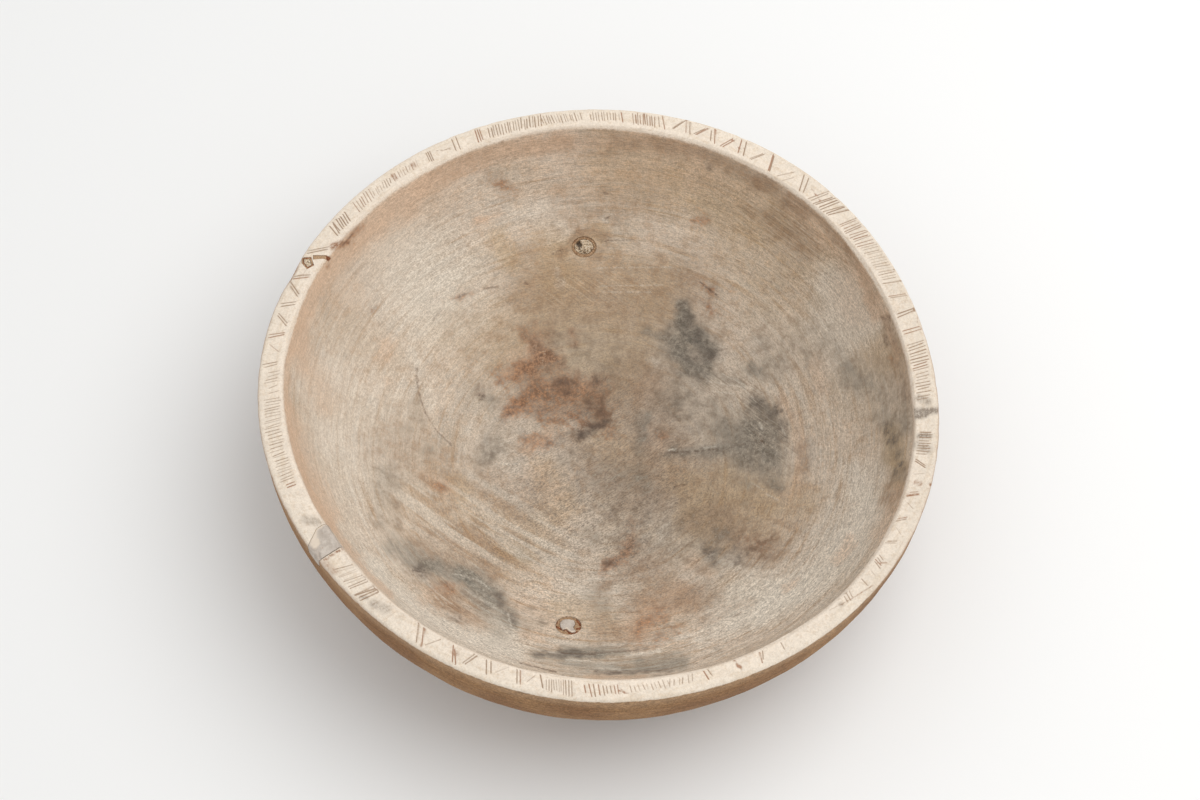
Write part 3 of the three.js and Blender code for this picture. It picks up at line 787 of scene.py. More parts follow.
RIM_KNOT_DEPTH = 4.5
RIM_BARK_THICKNESS = 1.0
SEAM_DEPTH = 4.0
SEAM_INNER_HALF_WIDTH = 0.8
SEAM_OUTER_HALF_WIDTH = 1.4
SEAM_TO_KNOT = 1.6

wall_frame = inside_frame(direction=93.8, above_floor=34.4)
floor_frame = inside_frame(direction=-98.4, above_floor=21.9)
crack_frame = rim_frame(direction=-143.6)
rim_knot_frame = rim_frame(direction=154.6, outwards=8.2)
seam_frame = rim_frame(direction=152.1)


def knot_shape(knot):
    """Outline, depth and narrowing of an oval knot."""
    return oval(knot["half_width"], knot["half_height"]), knot["depth"], knot["narrowing"]


def rim_putty_outline(crack_side):
    inner, outer = -OVERSHOOT, RIM_WIDTH + OVERSHOOT
    return [
        (inner, crack_side), (inner, -RIM_PUTTY_INNER_LENGTH), (RIM_PUTTY_SHOULDER, -RIM_PUTTY_INNER_LENGTH),
        (outer, -RIM_PUTTY_OUTER_LENGTH), (outer, crack_side),
    ]


def seam_outline():
    corner = seam_frame.local(rim_knot_frame.out([*RIM_KNOT_OUTLINE[-1], 0.0]))[:2]
    along = unit(corner)
    aside = np.array([-along[1], along[0]])
    inner_end = -OVERSHOOT * along
    outer_end = corner - SEAM_TO_KNOT * along
    return np.array([
        inner_end - SEAM_INNER_HALF_WIDTH * aside, outer_end - SEAM_OUTER_HALF_WIDTH * aside,
        outer_end + SEAM_OUTER_HALF_WIDTH * aside, inner_end + SEAM_INNER_HALF_WIDTH * aside,
    ])


def fitted_piece(name, outline, depth, narrowing, frame, fit=0.0):
    """A plug cut to the carved form's surface; a fit above zero lets it fill its pocket more closely."""
    piece = plug(name, outset(outline, fit) if fit else outline, depth, narrowing, frame)
    combine(piece, bowl, "INTERSECT")
    return piece


def hollowed(piece, outline, depth, narrowing, frame):
    """Takes the pocket of an inner piece out of the piece round it."""
    pocket = plug("pocket", outset(outline, CLEARANCE), depth + CLEARANCE, narrowing, frame)
    combine(piece, pocket, "DIFFERENCE")
    bpy.data.objects.remove(pocket)


def spot(places, x, y, reach):
    return np.exp(-(((places[:, 0] - x) ** 2 + (places[:, 1] - y) ** 2) / reach ** 2))


# Readings of the dead knot in the picture, below whose crumbly row its wood has broken away
KNOT_VOID = [(576.8, 241.4), (579.4, 245.2)]
KNOT_PITS = [(584.3, 252.8), (579.3, 249.0), (580.9, 254.6), (592.0, 250.5), (587.0, 255.0)]
CRUMBLY_ROW = 248.5
VOID_REACH = 2.6
VOID_DEPTH = 3.5
PIT_REACH = 1.5
PIT_DEPTH = 1.5

# The nick in the rim's putty, and the hole in the bark seam, in the picture
PUTTY_NICK = [(318.2, 552.5), (319.5, 558.5)]
NICK_REACH = 1.3
NICK_DEPTH = 0.9
SEAM_HOLE = (328.0, 258.2)
SEAM_HOLE_REACH = 4.5
SEAM_HOLE_DEPTH = 0.6


def wall_core_relief(points, places):
    crumbly = 1 / (1 + np.exp(CRUMBLY_ROW - places[:, 1]))
    crumbs = uneven(points, 0.0, [(0.55, 2.6, 21), (0.35, 1.2, 22)], folded=True)
    relief = 0.25 + 0.5 * crumbs + crumbly * (0.5 + 1.6 * crumbs)
    relief += VOID_DEPTH * np.exp(-(path_distance(places, KNOT_VOID) / VOID_REACH) ** 4)
    for x, y in KNOT_PITS:
        relief += PIT_DEPTH * spot(places, x, y, PIT_REACH)
    return relief


def bark_relief(points, places):
    return uneven(points, 0.3, [(0.75, 1.8, 23), (0.4, 0.9, 24)], folded=True)


def putty_relief(points, places):
    smooth = uneven(points, 0.12, [(0.14, 4.0, 25)])
    return uneven(points, smooth, [(0.1, 1.4, 26)], folded=True)


def rim_putty_relief(points, places):
    dragged = uneven(points, 0.18, [(0.14, 9.0, 27), (0.07, 3.0, 28)])
    return dragged + NICK_DEPTH * np.exp(-(path_distance(places, PUTTY_NICK) / NICK_REACH) ** 2)


def knot_core_relief(points, places):
    return uneven(points, 0.25, [(0.3, 2.2, 29)], folded=True)


def seam_relief(points, places):
    rough = uneven(points, 0.15, [(0.25, 1.8, 30)], folded=True)
    hole = spot(places, *SEAM_HOLE, SEAM_HOLE_REACH)
    return rough + hole * uneven(points, SEAM_HOLE_DEPTH, [(0.4, 1.5, 31)])


# Voxels of the small pieces in millimetres, and how far the putty's far end is drawn in beyond a length
FINE = 0.3
FINER = 0.25
COARSE = 0.4
PUTTY_END_PULL = 0.22
PUTTY_END_LENGTH = 6.0


def draw_in_far_end(putty):
    """Moves the end of the rim's putty that lies against the wood a little closer to it."""
    local = crack_frame.local(mesh_points(putty))
    local[:, 1] -= PUTTY_END_PULL * np.clip(-local[:, 1] / PUTTY_END_LENGTH - 0.5, 0, 1)
    move_points(putty, crack_frame.out(local))


def inserts():
    """All the pieces that sit in the bowl, each with the material slot that it takes its finish from."""
    ring = WALL_BARK_THICKNESS + CLEARANCE
    outline, wall_depth, lean = knot_shape(WALL_KNOT)
    core_depth = wall_depth - ring
    heart = oval(WALL_KNOT["half_width"] - ring, WALL_KNOT["half_height"] - ring)
    wall_bark = fitted_piece("wall_knot_bark_rough", outline, wall_depth, lean, wall_frame, KNOT_FIT)
    hollowed(wall_bark, heart, core_depth, lean, wall_frame)
    wall_core = fitted_piece("wall_knot_core_crumbly", heart, core_depth, lean, wall_frame, WALL_HEART_FIT)

    outline, floor_depth, lean = knot_shape(FLOOR_KNOT)
    hook = FLOOR_PUTTY_OUTLINE
    floor_bark = fitted_piece("floor_knot_bark_rough", outline, floor_depth, lean, floor_frame, KNOT_FIT)
    hollowed(floor_bark, hook, FLOOR_PUTTY_DEPTH, 0, floor_frame)
    floor_putty = fitted_piece("floor_knot_putty_hook", hook, FLOOR_PUTTY_DEPTH, 0, floor_frame,
                               FLOOR_PUTTY_FIT)

    rim_putty = fitted_piece("rim_crack_putty_rubbed", rim_putty_outline(0), RIM_PUTTY_DEPTH, 0, crack_frame)
    draw_in_far_end(rim_putty)
    seam = fitted_piece("rim_bark_seam_rough", seam_outline(), SEAM_DEPTH, 0, seam_frame, SEAM_FIT)

    ring = RIM_BARK_THICKNESS + CLEARANCE
    outline, heart = RIM_KNOT_OUTLINE, outset(RIM_KNOT_OUTLINE, -ring)
    knot_depth = RIM_KNOT_DEPTH - ring
    knot_bark = fitted_piece("rim_knot_bark_rough", outline, RIM_KNOT_DEPTH, 0, rim_knot_frame, KNOT_FIT)
    hollowed(knot_bark, heart, knot_depth, 0, rim_knot_frame)
    knot_core = fitted_piece("rim_knot_core_rubbed", heart, knot_depth, 0, rim_knot_frame, KNOT_FIT)

    shaping = [
        (wall_bark, "wall_knot_bark", "bark", FINE, wall_frame, wall_depth, bark_relief),
        (wall_core, "wall_knot_core", "knot_wood", FINE, wall_frame, core_depth, wall_core_relief),
        (floor_bark, "floor_knot_bark", "bark", FINE, floor_frame, floor_depth, bark_relief),
        (floor_putty, "floor_knot_putty", "pale_putty", FINE, floor_frame, FLOOR_PUTTY_DEPTH, putty_relief),
        (rim_putty, "rim_crack_putty", "pale_putty", COARSE, crack_frame, RIM_PUTTY_DEPTH, rim_putty_relief),
        (seam, "rim_bark_seam", "bark", FINE, seam_frame, SEAM_DEPTH, seam_relief),
        (knot_core, "rim_knot_core", "knot_wood", FINER, rim_knot_frame, knot_depth, knot_core_relief),
        (knot_bark, "rim_knot_bark", "bark", FINER, rim_knot_frame, RIM_KNOT_DEPTH, seam_relief),
    ]
    for piece, node, slot, voxel, frame, depth, relief in shaping:
        refine(piece, voxel)
        press_in(piece, frame, depth, relief)
        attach(piece, "root")
        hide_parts(node)
    return [(piece, slot) for piece, _, slot, *_ in shaping]


def cut_pockets():
    """Takes the pockets of all the pieces out of the carved form."""
    pockets = [
        (*knot_shape(WALL_KNOT), wall_frame),
        (*knot_shape(FLOOR_KNOT), floor_frame),
        (rim_putty_outline(CRACK_WIDTH - CLEARANCE), RIM_PUTTY_DEPTH, 0, crack_frame),
        (RIM_KNOT_OUTLINE, RIM_KNOT_DEPTH, 0, rim_knot_frame),
        (seam_outline(), SEAM_DEPTH, 0, seam_frame),
    ]
    for outline, depth, narrowing, frame in pockets:
        hollowed(bowl, outline, depth, narrowing, frame)


bowl = blank_bowl()
small_pieces = inserts()
cut_pockets()
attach(bowl, "root")
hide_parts("bowl_body")


# Stains of the inside, and some painted shade below the rim, as strokes over the picture: half width,
# strength, then the places they run through

STAINS_AND_SHADE = {
    "warm": [
        (6, 0.6, (288, 352), (285, 380), (286, 406)),
        (13, 0.8, (290, 347), (300, 312), (316, 279), (334, 259), (360, 234), (388, 210), (423, 184)),
        (12, 0.85, (423, 184), (457, 165), (500, 151), (562, 142)),
        (26, 0.2, (335, 290), (380, 235), (440, 190)),
        (6, 0.8, (286, 406), (291, 444), (303, 476), (316, 503), (332, 527)),
        (12, 0.5, (292, 420), (306, 470), (330, 515)),
        (4, 0.6, (332, 527), (347, 548), (368, 573), (390, 596)),
        (6, 0.45, (303, 312), (302, 340), (304, 370)), (12, 0.35, (304, 355), (316, 380), (326, 406)),
        (10, 0.5, (345, 236), (352, 246), (410, 210)), (10, 0.45, (560, 141), (640, 138), (700, 150)),
        (26, 0.2, (540, 180), (640, 165), (700, 170)), (3.5, 0.8, (478, 218), (484, 218)),
        (5, 0.4, (478, 222), (500, 212)), (20, 0.2, (705, 165), (745, 195)),
        (12, 0.45, (795, 205), (830, 240), (862, 275)), (16, 0.3, (844, 288), (856, 314)),
        (5, 0.65, (859, 268), (866, 292), (874, 318)), (5, 0.6, (866, 270), (884, 318), (897, 352)),
        (7, 0.35, (816, 362), (822, 390)), (8, 0.4, (785, 400), (792, 415)),
        (6, 0.45, (796, 424), (800, 450), (798, 478)), (9, 0.35, (786, 496), (800, 486)),
        (12, 0.4, (520, 360), (512, 376)), (8, 0.75, (537, 344), (533, 360), (512, 374)),
        (16, 0.35, (535, 395), (590, 392)), (7, 0.7, (522, 402), (512, 414)),
        (7, 0.65, (545, 437), (534, 443), (526, 450)), (6, 0.5, (548, 432), (564, 414)),
        (12, 0.35, (640, 392), (652, 384)), (10, 0.35, (650, 440), (662, 446)),
        (9, 0.55, (426, 476), (436, 484), (446, 490)), (9, 0.4, (388, 344), (386, 356)),
        (4, 0.35, (387, 380), (389, 383)), (18, 0.6, (640, 628), (652, 610), (680, 596)),
        (9, 0.6, (636, 631), (650, 612)), (9, 0.45, (690, 563), (706, 570)),
        (3, 0.6, (588, 677), (642, 677)), (14, 0.45, (432, 592), (455, 600), (478, 616)),
        (12, 0.35, (512, 606), (545, 618)), (8, 0.3, (528, 634), (540, 637)),
        (4, 0.45, (836, 562), (852, 538)), (3, 0.4, (784, 590), (796, 580)),
        (10, 0.35, (880, 534), (902, 494)), (18, 0.25, (540, 480), (556, 500)),
        (3, 0.5, (479, 537), (482, 539)),
    ],
    "grey": [
        (9, 0.9, (683, 306), (686, 316)), (14, 0.95, (684, 326), (692, 334)),
        (15, 0.9, (676, 346), (680, 356)), (13, 0.95, (700, 338), (708, 352)),
        (10, 0.85, (690, 368), (706, 368)), (5, 0.6, (648, 331), (662, 336)),
        (4, 0.5, (700, 378), (706, 382)), (7, 0.55, (748, 371), (761, 375)),
        (9, 0.35, (766, 360), (778, 370)), (5, 0.5, (706, 376), (724, 380), (742, 385)),
        (10, 0.85, (754, 404), (770, 412)), (13, 0.85, (752, 424), (774, 430)),
        (16, 0.85, (750, 440), (771, 452)), (15, 0.65, (752, 464), (772, 470)),
        (7, 0.45, (768, 484), (778, 488)), (7, 0.65, (668, 452), (700, 451), (736, 450)),
        (26, 0.4, (682, 400), (716, 420)), (14, 0.4, (728, 430), (736, 460)),
        (7, 0.5, (643, 418), (640, 452)), (8, 0.4, (478, 392), (493, 401)),
        (7, 0.35, (482, 456), (494, 452)), (7, 0.3, (562, 458), (580, 452)),
        (13, 0.55, (848, 374), (864, 384)), (18, 0.2, (872, 378), (896, 392)),
        (18, 0.25, (886, 404), (904, 410)), (9, 0.5, (884, 420), (908, 428)),
        (22, 0.25, (776, 344), (816, 340)), (10, 0.35, (722, 536), (740, 560)),
        (9, 0.55, (893, 436), (900, 474)), (14, 0.35, (384, 480), (388, 520)),
        (8, 0.4, (388, 470), (396, 486)), (12, 0.35, (484, 456), (500, 432)),
        (7, 0.3, (415, 405), (420, 420)), (10, 0.4, (532, 619), (538, 622)),
        (26, 0.2, (560, 345), (600, 355)), (30, 0.2, (630, 520), (700, 540)),
        (8, 0.55, (420, 568), (432, 578)),
    ],
    "blue": [
        (11, 0.65, (393, 545), (410, 555), (432, 566)), (10, 0.75, (430, 564), (450, 571), (468, 577)),
        (11, 0.8, (472, 591), (488, 602)),
        (8, 0.75, (462, 573), (480, 581), (494, 592), (506, 610), (514, 622)),
        (13, 0.5, (488, 608), (500, 628)), (5, 0.7, (534, 654), (560, 655), (600, 654)),
        (5, 0.5, (562, 664), (600, 670), (640, 672), (684, 664)), (6, 0.55, (564, 652), (622, 651)),
        (6, 0.6, (640, 664), (684, 660)), (5, 0.55, (752, 369), (758, 371)),
        (9, 0.5, (641, 474), (646, 484)), (3, 0.45, (647, 415), (646, 440)),
        (5, 0.5, (845, 367), (850, 370)), (4, 0.4, (404, 426), (409, 429)),
        (4, 0.35, (427, 450), (431, 454)), (8, 0.4, (708, 550), (716, 560)),
        (5, 0.4, (776, 484), (780, 486)), (5, 0.35, (745, 484), (747, 488)),
        (3, 0.4, (744, 503), (747, 505)), (7, 0.3, (545, 658), (600, 661), (640, 664)),
        (8, 0.3, (590, 534), (594, 540)), (9, 0.3, (594, 596), (602, 604)),
        (10, 0.35, (722, 428), (735, 440)), (14, 0.25, (600, 478), (625, 476)),
        (6, 0.35, (520, 552), (528, 556)),
    ],
    "rust": [
        (8, 0.75, (534, 346), (546, 352), (556, 358)), (8, 0.85, (523, 368), (534, 363), (546, 357)),
        (9, 0.5, (504, 380), (514, 371)), (9, 0.5, (510, 408), (538, 412)),
        (7, 0.6, (508, 414), (517, 404), (528, 394)), (13, 0.6, (540, 392), (575, 388)),
        (12, 0.35, (524, 376), (556, 370)), (9, 0.5, (562, 384), (570, 394)),
        (9, 0.55, (588, 386), (603, 384)), (9, 0.5, (598, 400), (604, 424)),
        (12, 0.5, (546, 414), (582, 416)), (7, 0.6, (526, 442), (546, 442)),
        (4, 0.6, (609, 433), (613, 437)), (10, 0.3, (528, 335), (546, 334)),
        (4, 0.5, (504, 420), (512, 412)), (3.5, 0.5, (571, 331), (574, 343)),
        (3.5, 0.6, (479, 391), (482, 395)), (6, 0.6, (604, 569), (614, 562), (632, 543)),
        (9, 0.4, (614, 564), (630, 552)), (7, 0.3, (630, 540), (632, 522)),
        (4, 0.5, (692, 221), (706, 220)), (3, 0.35, (700, 209), (702, 214)),
        (6, 0.35, (500, 184), (510, 188)), (4, 0.55, (436, 484), (443, 489)),
        (3, 0.6, (446, 588), (452, 591)), (4, 0.4, (436, 586), (450, 584)),
        (9, 0.55, (640, 630), (658, 616)), (5, 0.4, (656, 640), (676, 630)),
        (3, 0.5, (760, 441), (762, 441)), (3, 0.35, (893, 359), (896, 362)),
        (3, 0.4, (702, 283), (712, 291)), (3, 0.45, (703, 303), (712, 308)),
        (2.5, 0.4, (730, 287), (732, 288)), (7, 0.2, (746, 540), (766, 548)),
        (3, 0.4, (656, 436), (661, 438)), (2.5, 0.4, (372, 309), (374, 310)),
        (4, 0.35, (457, 298), (466, 293)), (3.0, 0.8, (338, 248), (346, 243)),
        (2.4, 0.7, (346, 242), (352, 236), (360, 226)), (2.4, 0.6, (328, 266), (330, 262)),
    ],
    "dark": [
        (7, 0.8, (581, 435), (592, 429), (604, 422)), (7, 0.4, (588, 410), (602, 404)),
        (6, 0.4, (560, 382), (568, 391)), (5, 0.3, (590, 385), (606, 382)),
        (7, 0.6, (756, 403), (775, 412)), (9, 0.35, (690, 322), (700, 346)),
        (7, 0.4, (692, 356), (714, 354)), (3, 0.4, (781, 420), (786, 440)),
        (3, 0.35, (887, 318), (896, 340)), (2.6, 0.3, (880, 316), (888, 346)),
        (5, 0.2, (888, 430), (900, 470)), (4, 0.5, (418, 569), (430, 578)),
        (2.4, 0.55, (596, 674), (670, 670)), (3, 0.5, (536, 655), (580, 654)),
        (3, 0.4, (497, 594), (514, 622)), (4, 0.35, (703, 545), (718, 560)),
        (2.5, 0.6, (453, 615), (457, 618)), (3, 0.4, (480, 393), (483, 396)),
        (1.8, 0.7, (708, 168), (711, 169)), (2.4, 0.6, (782, 211), (784, 213)),
        (3, 0.35, (606, 565), (616, 559)), (14, 0.15, (740, 552), (764, 546)),
    ],
    "pale": [
        (50, 0.7, (400, 250), (440, 300)), (34, 0.3, (320, 370), (350, 440)),
        (22, 0.4, (720, 606), (780, 592)), (20, 0.45, (800, 580), (840, 540)),
        (24, 0.85, (838, 286), (858, 320)), (18, 0.5, (826, 536), (850, 508), (866, 478)),
        (30, 0.35, (320, 440), (360, 480)), (26, 0.25, (380, 390), (400, 460)),
        (13, 0.8, (370, 566), (420, 614), (470, 638), (516, 652)), (18, 0.35, (340, 510), (372, 560)),
        (15, 0.75, (762, 610), (806, 590), (844, 558), (872, 512)), (22, 0.65, (730, 606), (770, 590)),
        (11, 0.5, (852, 470), (866, 500)), (7, 0.55, (700, 640), (762, 618)),
        (16, 0.4, (818, 326), (838, 350)), (9, 0.5, (686, 574), (702, 584)),
        (3, 0.5, (456, 575), (470, 579), (489, 589)), (9, 0.45, (500, 622), (510, 634)),
        (2.6, 0.85, (627, 656), (642, 653), (658, 652)), (2, 0.7, (595, 667), (620, 669)),
        (3.5, 0.6, (566, 662), (577, 663)), (2, 0.5, (604, 645), (650, 643)),
        (9, 0.4, (568, 584), (584, 590)), (6, 0.35, (470, 480), (520, 500)),
        (6, 0.5, (417, 372), (414, 350)), (4, 0.45, (654, 356), (660, 368)),
        (3, 0.4, (558, 268), (561, 286)), (14, 0.3, (540, 205), (556, 230)),
        (3, 0.4, (664, 449), (726, 446)), (12, 0.3, (500, 450), (512, 470)),
        (14, 0.25, (600, 580), (620, 600)), (5, 0.35, (626, 575), (660, 540), (672, 500)),
        (7, 0.3, (648, 400), (656, 470), (650, 520)), (6, 0.25, (424, 380), (430, 404)),
        (6, 0.3, (730, 562), (776, 588)),
    ],
    "olive": [
        (12, 0.6, (892, 434), (898, 462)), (7, 0.5, (896, 462), (899, 486)),
        (40, 0.2, (740, 260), (800, 300)), (40, 0.5, (560, 285), (650, 295)),
        (36, 0.45, (620, 160), (760, 210)), (40, 0.4, (470, 330), (620, 360)),
        (12, 0.45, (496, 240), (512, 262)), (16, 0.35, (548, 240), (554, 280)),
        (30, 0.4, (700, 500), (760, 520)), (20, 0.35, (600, 440), (680, 480)),
        (12, 0.35, (566, 270), (585, 284)), (10, 0.35, (450, 486), (462, 490)),
        (10, 0.35, (508, 552), (526, 556)), (18, 0.3, (690, 520), (720, 536)),
        (14, 0.3, (440, 330), (456, 318)), (24, 0.35, (730, 480), (800, 500)),
        (16, 0.3, (545, 470), (565, 510)), (18, 0.25, (560, 610), (600, 620)),
        (40, 0.25, (430, 500), (520, 545)), (28, 0.35, (800, 226), (856, 290), (884, 350)),
        (18, 0.35, (728, 596), (768, 590)), (10, 0.5, (566, 246), (600, 232)),
    ],
    # The brown strokes that run just below the rim's inner edge, on the far wall and down the right wall, are
    # partly painted shade under the rim
    "brown": [
        (3, 0.5, (420, 478), (446, 490)), (3, 0.4, (508, 533), (532, 546), (552, 561), (568, 564)),
        (10, 0.5, (528, 335), (546, 334)), (7, 0.45, (572, 334), (574, 342)),
        (20, 0.58, (534, 398), (596, 400)), (16, 0.35, (520, 374), (556, 372)),
        (10, 0.45, (590, 400), (604, 422)), (8, 0.4, (575, 437), (600, 424)),
        (34, 0.33, (400, 450), (430, 480)), (40, 0.5, (640, 390), (660, 450)),
        (34, 0.55, (440, 545), (480, 560)), (12, 0.4, (440, 592), (465, 606)),
        (36, 0.15, (620, 600), (700, 590)), (44, 0.2, (700, 500), (780, 520)),
        (30, 0.2, (470, 335), (500, 350)), (26, 0.3, (490, 480), (520, 500)),
        (42, 0.45, (540, 290), (680, 295)), (30, 0.4, (600, 470), (650, 500)),
        (9, 0.15, (440, 174), (500, 151), (562, 142)), (26, 0.2, (575, 204), (640, 200)),
        (16, 0.35, (640, 604), (690, 596)), (5, 0.4, (600, 588), (640, 570)),
        (5, 0.2, (700, 622), (752, 600)), (14, 0.4, (690, 524), (722, 516)),
        (18, 0.5, (730, 540), (768, 552)), (10, 0.5, (800, 210), (760, 180)),
        (14, 0.3, (776, 218), (806, 246)), (12, 0.2, (560, 148), (620, 146)),
        (8, 0.45, (620, 141), (700, 152), (770, 184)), (9, 0.4, (890, 500), (905, 470)),
        (10, 0.25, (750, 212), (812, 250)), (8, 0.3, (495, 180), (510, 190)),
        (12, 0.35, (900, 350), (912, 396)), (5, 0.5, (790, 192), (830, 228), (850, 256)),
        (8, 0.3, (560, 440), (580, 450)), (10, 0.35, (440, 600), (470, 620)),
        (5, 0.35, (606, 520), (622, 506)), (5, 0.6, (560, 252), (568, 243), (580, 233)),
        (5, 0.6, (580, 233), (596, 232), (608, 238)), (4, 0.35, (604, 246), (600, 256), (588, 262)),
        (20, 0.45, (636, 556), (650, 566)), (14, 0.45, (604, 636), (640, 642)),
        (14, 0.35, (688, 604), (712, 598)), (12, 0.4, (446, 600), (478, 606)),
        (6, 0.3, (390, 486), (400, 520)), (7, 0.35, (804, 450), (806, 470)),
        (5, 0.25, (850, 250), (876, 300), (896, 350), (908, 400)),
    ],
    "figure": [
        (30, 0.75, (410, 505), (470, 530), (540, 560)), (20, 0.4, (470, 485), (560, 530)),
        (14, 0.5, (470, 600), (500, 615)),
    ],
    "scratch": [
        (26, 0.55, (725, 200), (780, 235), (820, 270)), (16, 0.45, (790, 210), (840, 262)),
        (14, 0.7, (712, 384), (752, 388)), (18, 0.4, (560, 290), (640, 290)),
        (16, 0.6, (745, 410), (785, 450)), (12, 0.4, (430, 595), (470, 610)),
    ],
}

# Smudges on the flat of the rim, in the same form
RIM_SMUDGES = {
    "brown": [
        (3.6, 1.0, (333.5, 246.5), (341, 244.5)), (2.4, 0.8, (343.5, 241), (349, 235), (355, 229)),
        (3.5, 0.4, (323, 560), (329, 566), (335, 572)), (0.9, 1.0, (320, 563), (331, 555.5), (343, 548)),
        (1.8, 0.8, (915.5, 482), (920.5, 484)), (1.4, 0.9, (930.5, 484), (935, 487)),
        (1.2, 0.6, (907, 495.5), (918, 494)), (2.2, 0.5, (412, 165), (414.5, 165)),
        (2.2, 0.5, (393, 176), (396, 178)), (2.4, 0.6, (454, 653), (457, 654)),
    ],
    "grey": [
        (3.4, 0.9, (917, 411), (926, 411.5), (936, 410.5)), (3.2, 0.85, (917, 416.5), (925, 415)),
        (4.0, 0.5, (919, 398), (928, 402)), (5.0, 0.4, (306, 520), (318, 522)),
        (2.0, 0.5, (333, 545), (322, 528)), (3.0, 0.75, (919, 436), (929, 436)),
        (5.0, 0.45, (918, 445), (928, 449)), (5.0, 0.45, (374, 604), (386, 609)),
        (2.0, 0.5, (361, 597), (367, 598)), (2.0, 0.4, (840, 604), (842, 605)),
    ],
}

# Cracks, scratches and dashes, drawn crisp, and a painted highlight along the lip of the floor's crack: half
# width, strength, then the places they run through
DARK_LINES = [
    (0.9, 0.42, (668, 453), (676, 452), (690, 452)), (0.8, 0.45, (694, 451), (702, 451)),
    (0.9, 0.45, (708, 450), (716, 449), (723, 452)), (0.7, 0.35, (726, 450), (734, 446), (745, 444)),
    (1.6, 0.45, (416.3, 367), (417.5, 384)),
    (0.9, 0.42, (417.5, 384), (420, 398), (425.4, 413), (436, 430), (451, 445)),
    (0.7, 0.4, (601, 242.5), (608, 240.5), (633, 240)), (0.7, 0.45, (562, 249.5), (552, 254)),
    (1.5, 0.5, (459, 297), (466, 294)), (1.2, 0.45, (483, 289), (498, 287)),
    (1.6, 0.3, (433, 320), (441, 310)), (0.9, 0.45, (605, 219), (611, 216)),
    (1.4, 0.4, (604, 193), (607, 194)), (0.9, 0.6, (700, 282), (712, 292), (717, 295)),
    (0.9, 0.55, (520, 663), (540, 668), (556, 672)), (1.6, 0.5, (603.5, 570), (613, 561)),
    (1.2, 0.5, (525.5, 283), (528, 284.5)), (1.6, 0.75, (761, 441), (762, 441)),
    (0.8, 0.5, (674, 487), (686, 484)), (1.0, 0.4, (353, 234), (343, 245)),
    (0.8, 0.5, (733, 617), (741, 612)), (1.0, 0.45, (580, 654), (640, 650)),
    (0.8, 0.5, (561, 653), (596, 655)),
]
PALE_LINES = [
    (0.8, 0.45, (706, 381), (735, 386), (752, 388)), (0.6, 0.4, (712, 391), (735, 394)),
    (0.6, 0.4, (735, 378), (756, 402)), (0.7, 0.45, (722, 374), (760, 392)),
    (0.9, 0.6, (495, 464), (518, 464)), (1.6, 0.5, (760, 424), (762, 428)),
    # The two pale lines on this row run along the upper lip of the floor's crack: painted highlight
    (0.8, 0.6, (668, 450), (676, 449)), (0.8, 0.5, (704, 448), (716, 446.5)),
    (0.7, 0.4, (780, 424), (786, 436)), (0.8, 0.5, (594, 668), (620, 669)),
    (0.8, 0.4, (441, 596), (447, 604)), (1.1, 0.3, (454, 574), (470, 577), (483, 583), (490, 590)),
    (1.2, 0.5, (500, 622), (506, 632)), (1.0, 0.5, (508, 614), (512, 630)),
    (1.1, 0.5, (627, 656), (642, 653), (660, 652)), (1.0, 0.45, (566, 660), (590, 661)),
    (1.0, 0.4, (604, 645), (650, 643)), (0.9, 0.4, (424, 580), (438, 594), (452, 604)),
    (0.9, 0.4, (432, 592), (444, 606)), (0.7, 0.35, (597, 268), (671, 267)),
    (0.7, 0.3, (600, 286), (662, 285)), (0.7, 0.35, (602, 292), (650, 292)),
    (1.3, 0.4, (882, 376), (887, 388)), (0.8, 0.35, (766, 494), (778, 500)),
    (0.7, 0.3, (752, 483), (764, 490)), (0.7, 0.45, (602, 219), (608, 222)),
]

# Marks on the small pieces, in the same form
BARK_MARKS = [
    (1.0, 0.4, (574.5, 243), (574.8, 240), (578, 237.6)),
    (1.0, 0.25, (582, 236.6), (590, 237.6), (595, 239.6)),
    (1.0, 0.25, (598, 242), (600, 247), (598, 252.5)), (1.0, 0.35, (576, 257.6), (584, 259)),
    (1.5, 0.9, (554.5, 618), (556.5, 622.5)), (1.1, 0.8, (557, 616.4), (573, 616)),
    (1.2, 0.7, (556, 627), (564, 630)), (1.8, 1.0, (566.5, 628.5), (570, 632.4), (576, 632.6)),
    (1.3, 0.9, (577, 620), (580, 625)), (1.2, 0.8, (577, 629), (580, 628.6)),
    (1.2, 0.8, (575, 617), (579, 619)), (3.0, 0.95, (328.5, 258)), (1.0, 0.3, (316, 260.6), (325, 259.5)),
    (0.8, 0.5, (303.6, 258), (310.5, 258)), (0.8, 0.35, (310.5, 258), (314, 264)),
    (0.8, 0.6, (314, 264), (308, 267.5)), (0.8, 0.6, (308, 267.5), (303.6, 262.5), (303.6, 258)),
    (6.0, 0.9, (309, 526), (314, 542)), (4.0, 0.8, (324, 522), (314, 528)),
]


def stroke_cover(places, strokes):
    """How much of a stain covers each place, from 0 to 1."""
    clear = np.ones(len(places))
    for half_width, strength, *path in strokes:
        path = path if len(path) > 1 else path * 2
        clear *= 1 - strength * np.exp(-(path_distance(places, path) / half_width) ** 3)
    return 1 - clear


# Lengths of the sway on the bowl in millimetres, and how far each moves a place in the picture
STROKE_SWAYS = [(17, 2.0), (7, 1.6), (3.2, 1.3)]
SWAY_SEEDS = (51, 61)


def wandered(points, places):
    """Picture places moved about a little, so that drawn strokes get uneven edges."""
    sway = np.zeros_like(places)
    for i, (length, reach) in enumerate(STROKE_SWAYS):
        sway += reach * np.column_stack([swell(points, length, seed + i) for seed in SWAY_SEEDS])
    return places + sway


# Lines of the figure are parabolas over the picture: level at this x, and this bend in pixels
FIGURE_LEVEL_AT = 885.0
FIGURE_BEND = 1300.0

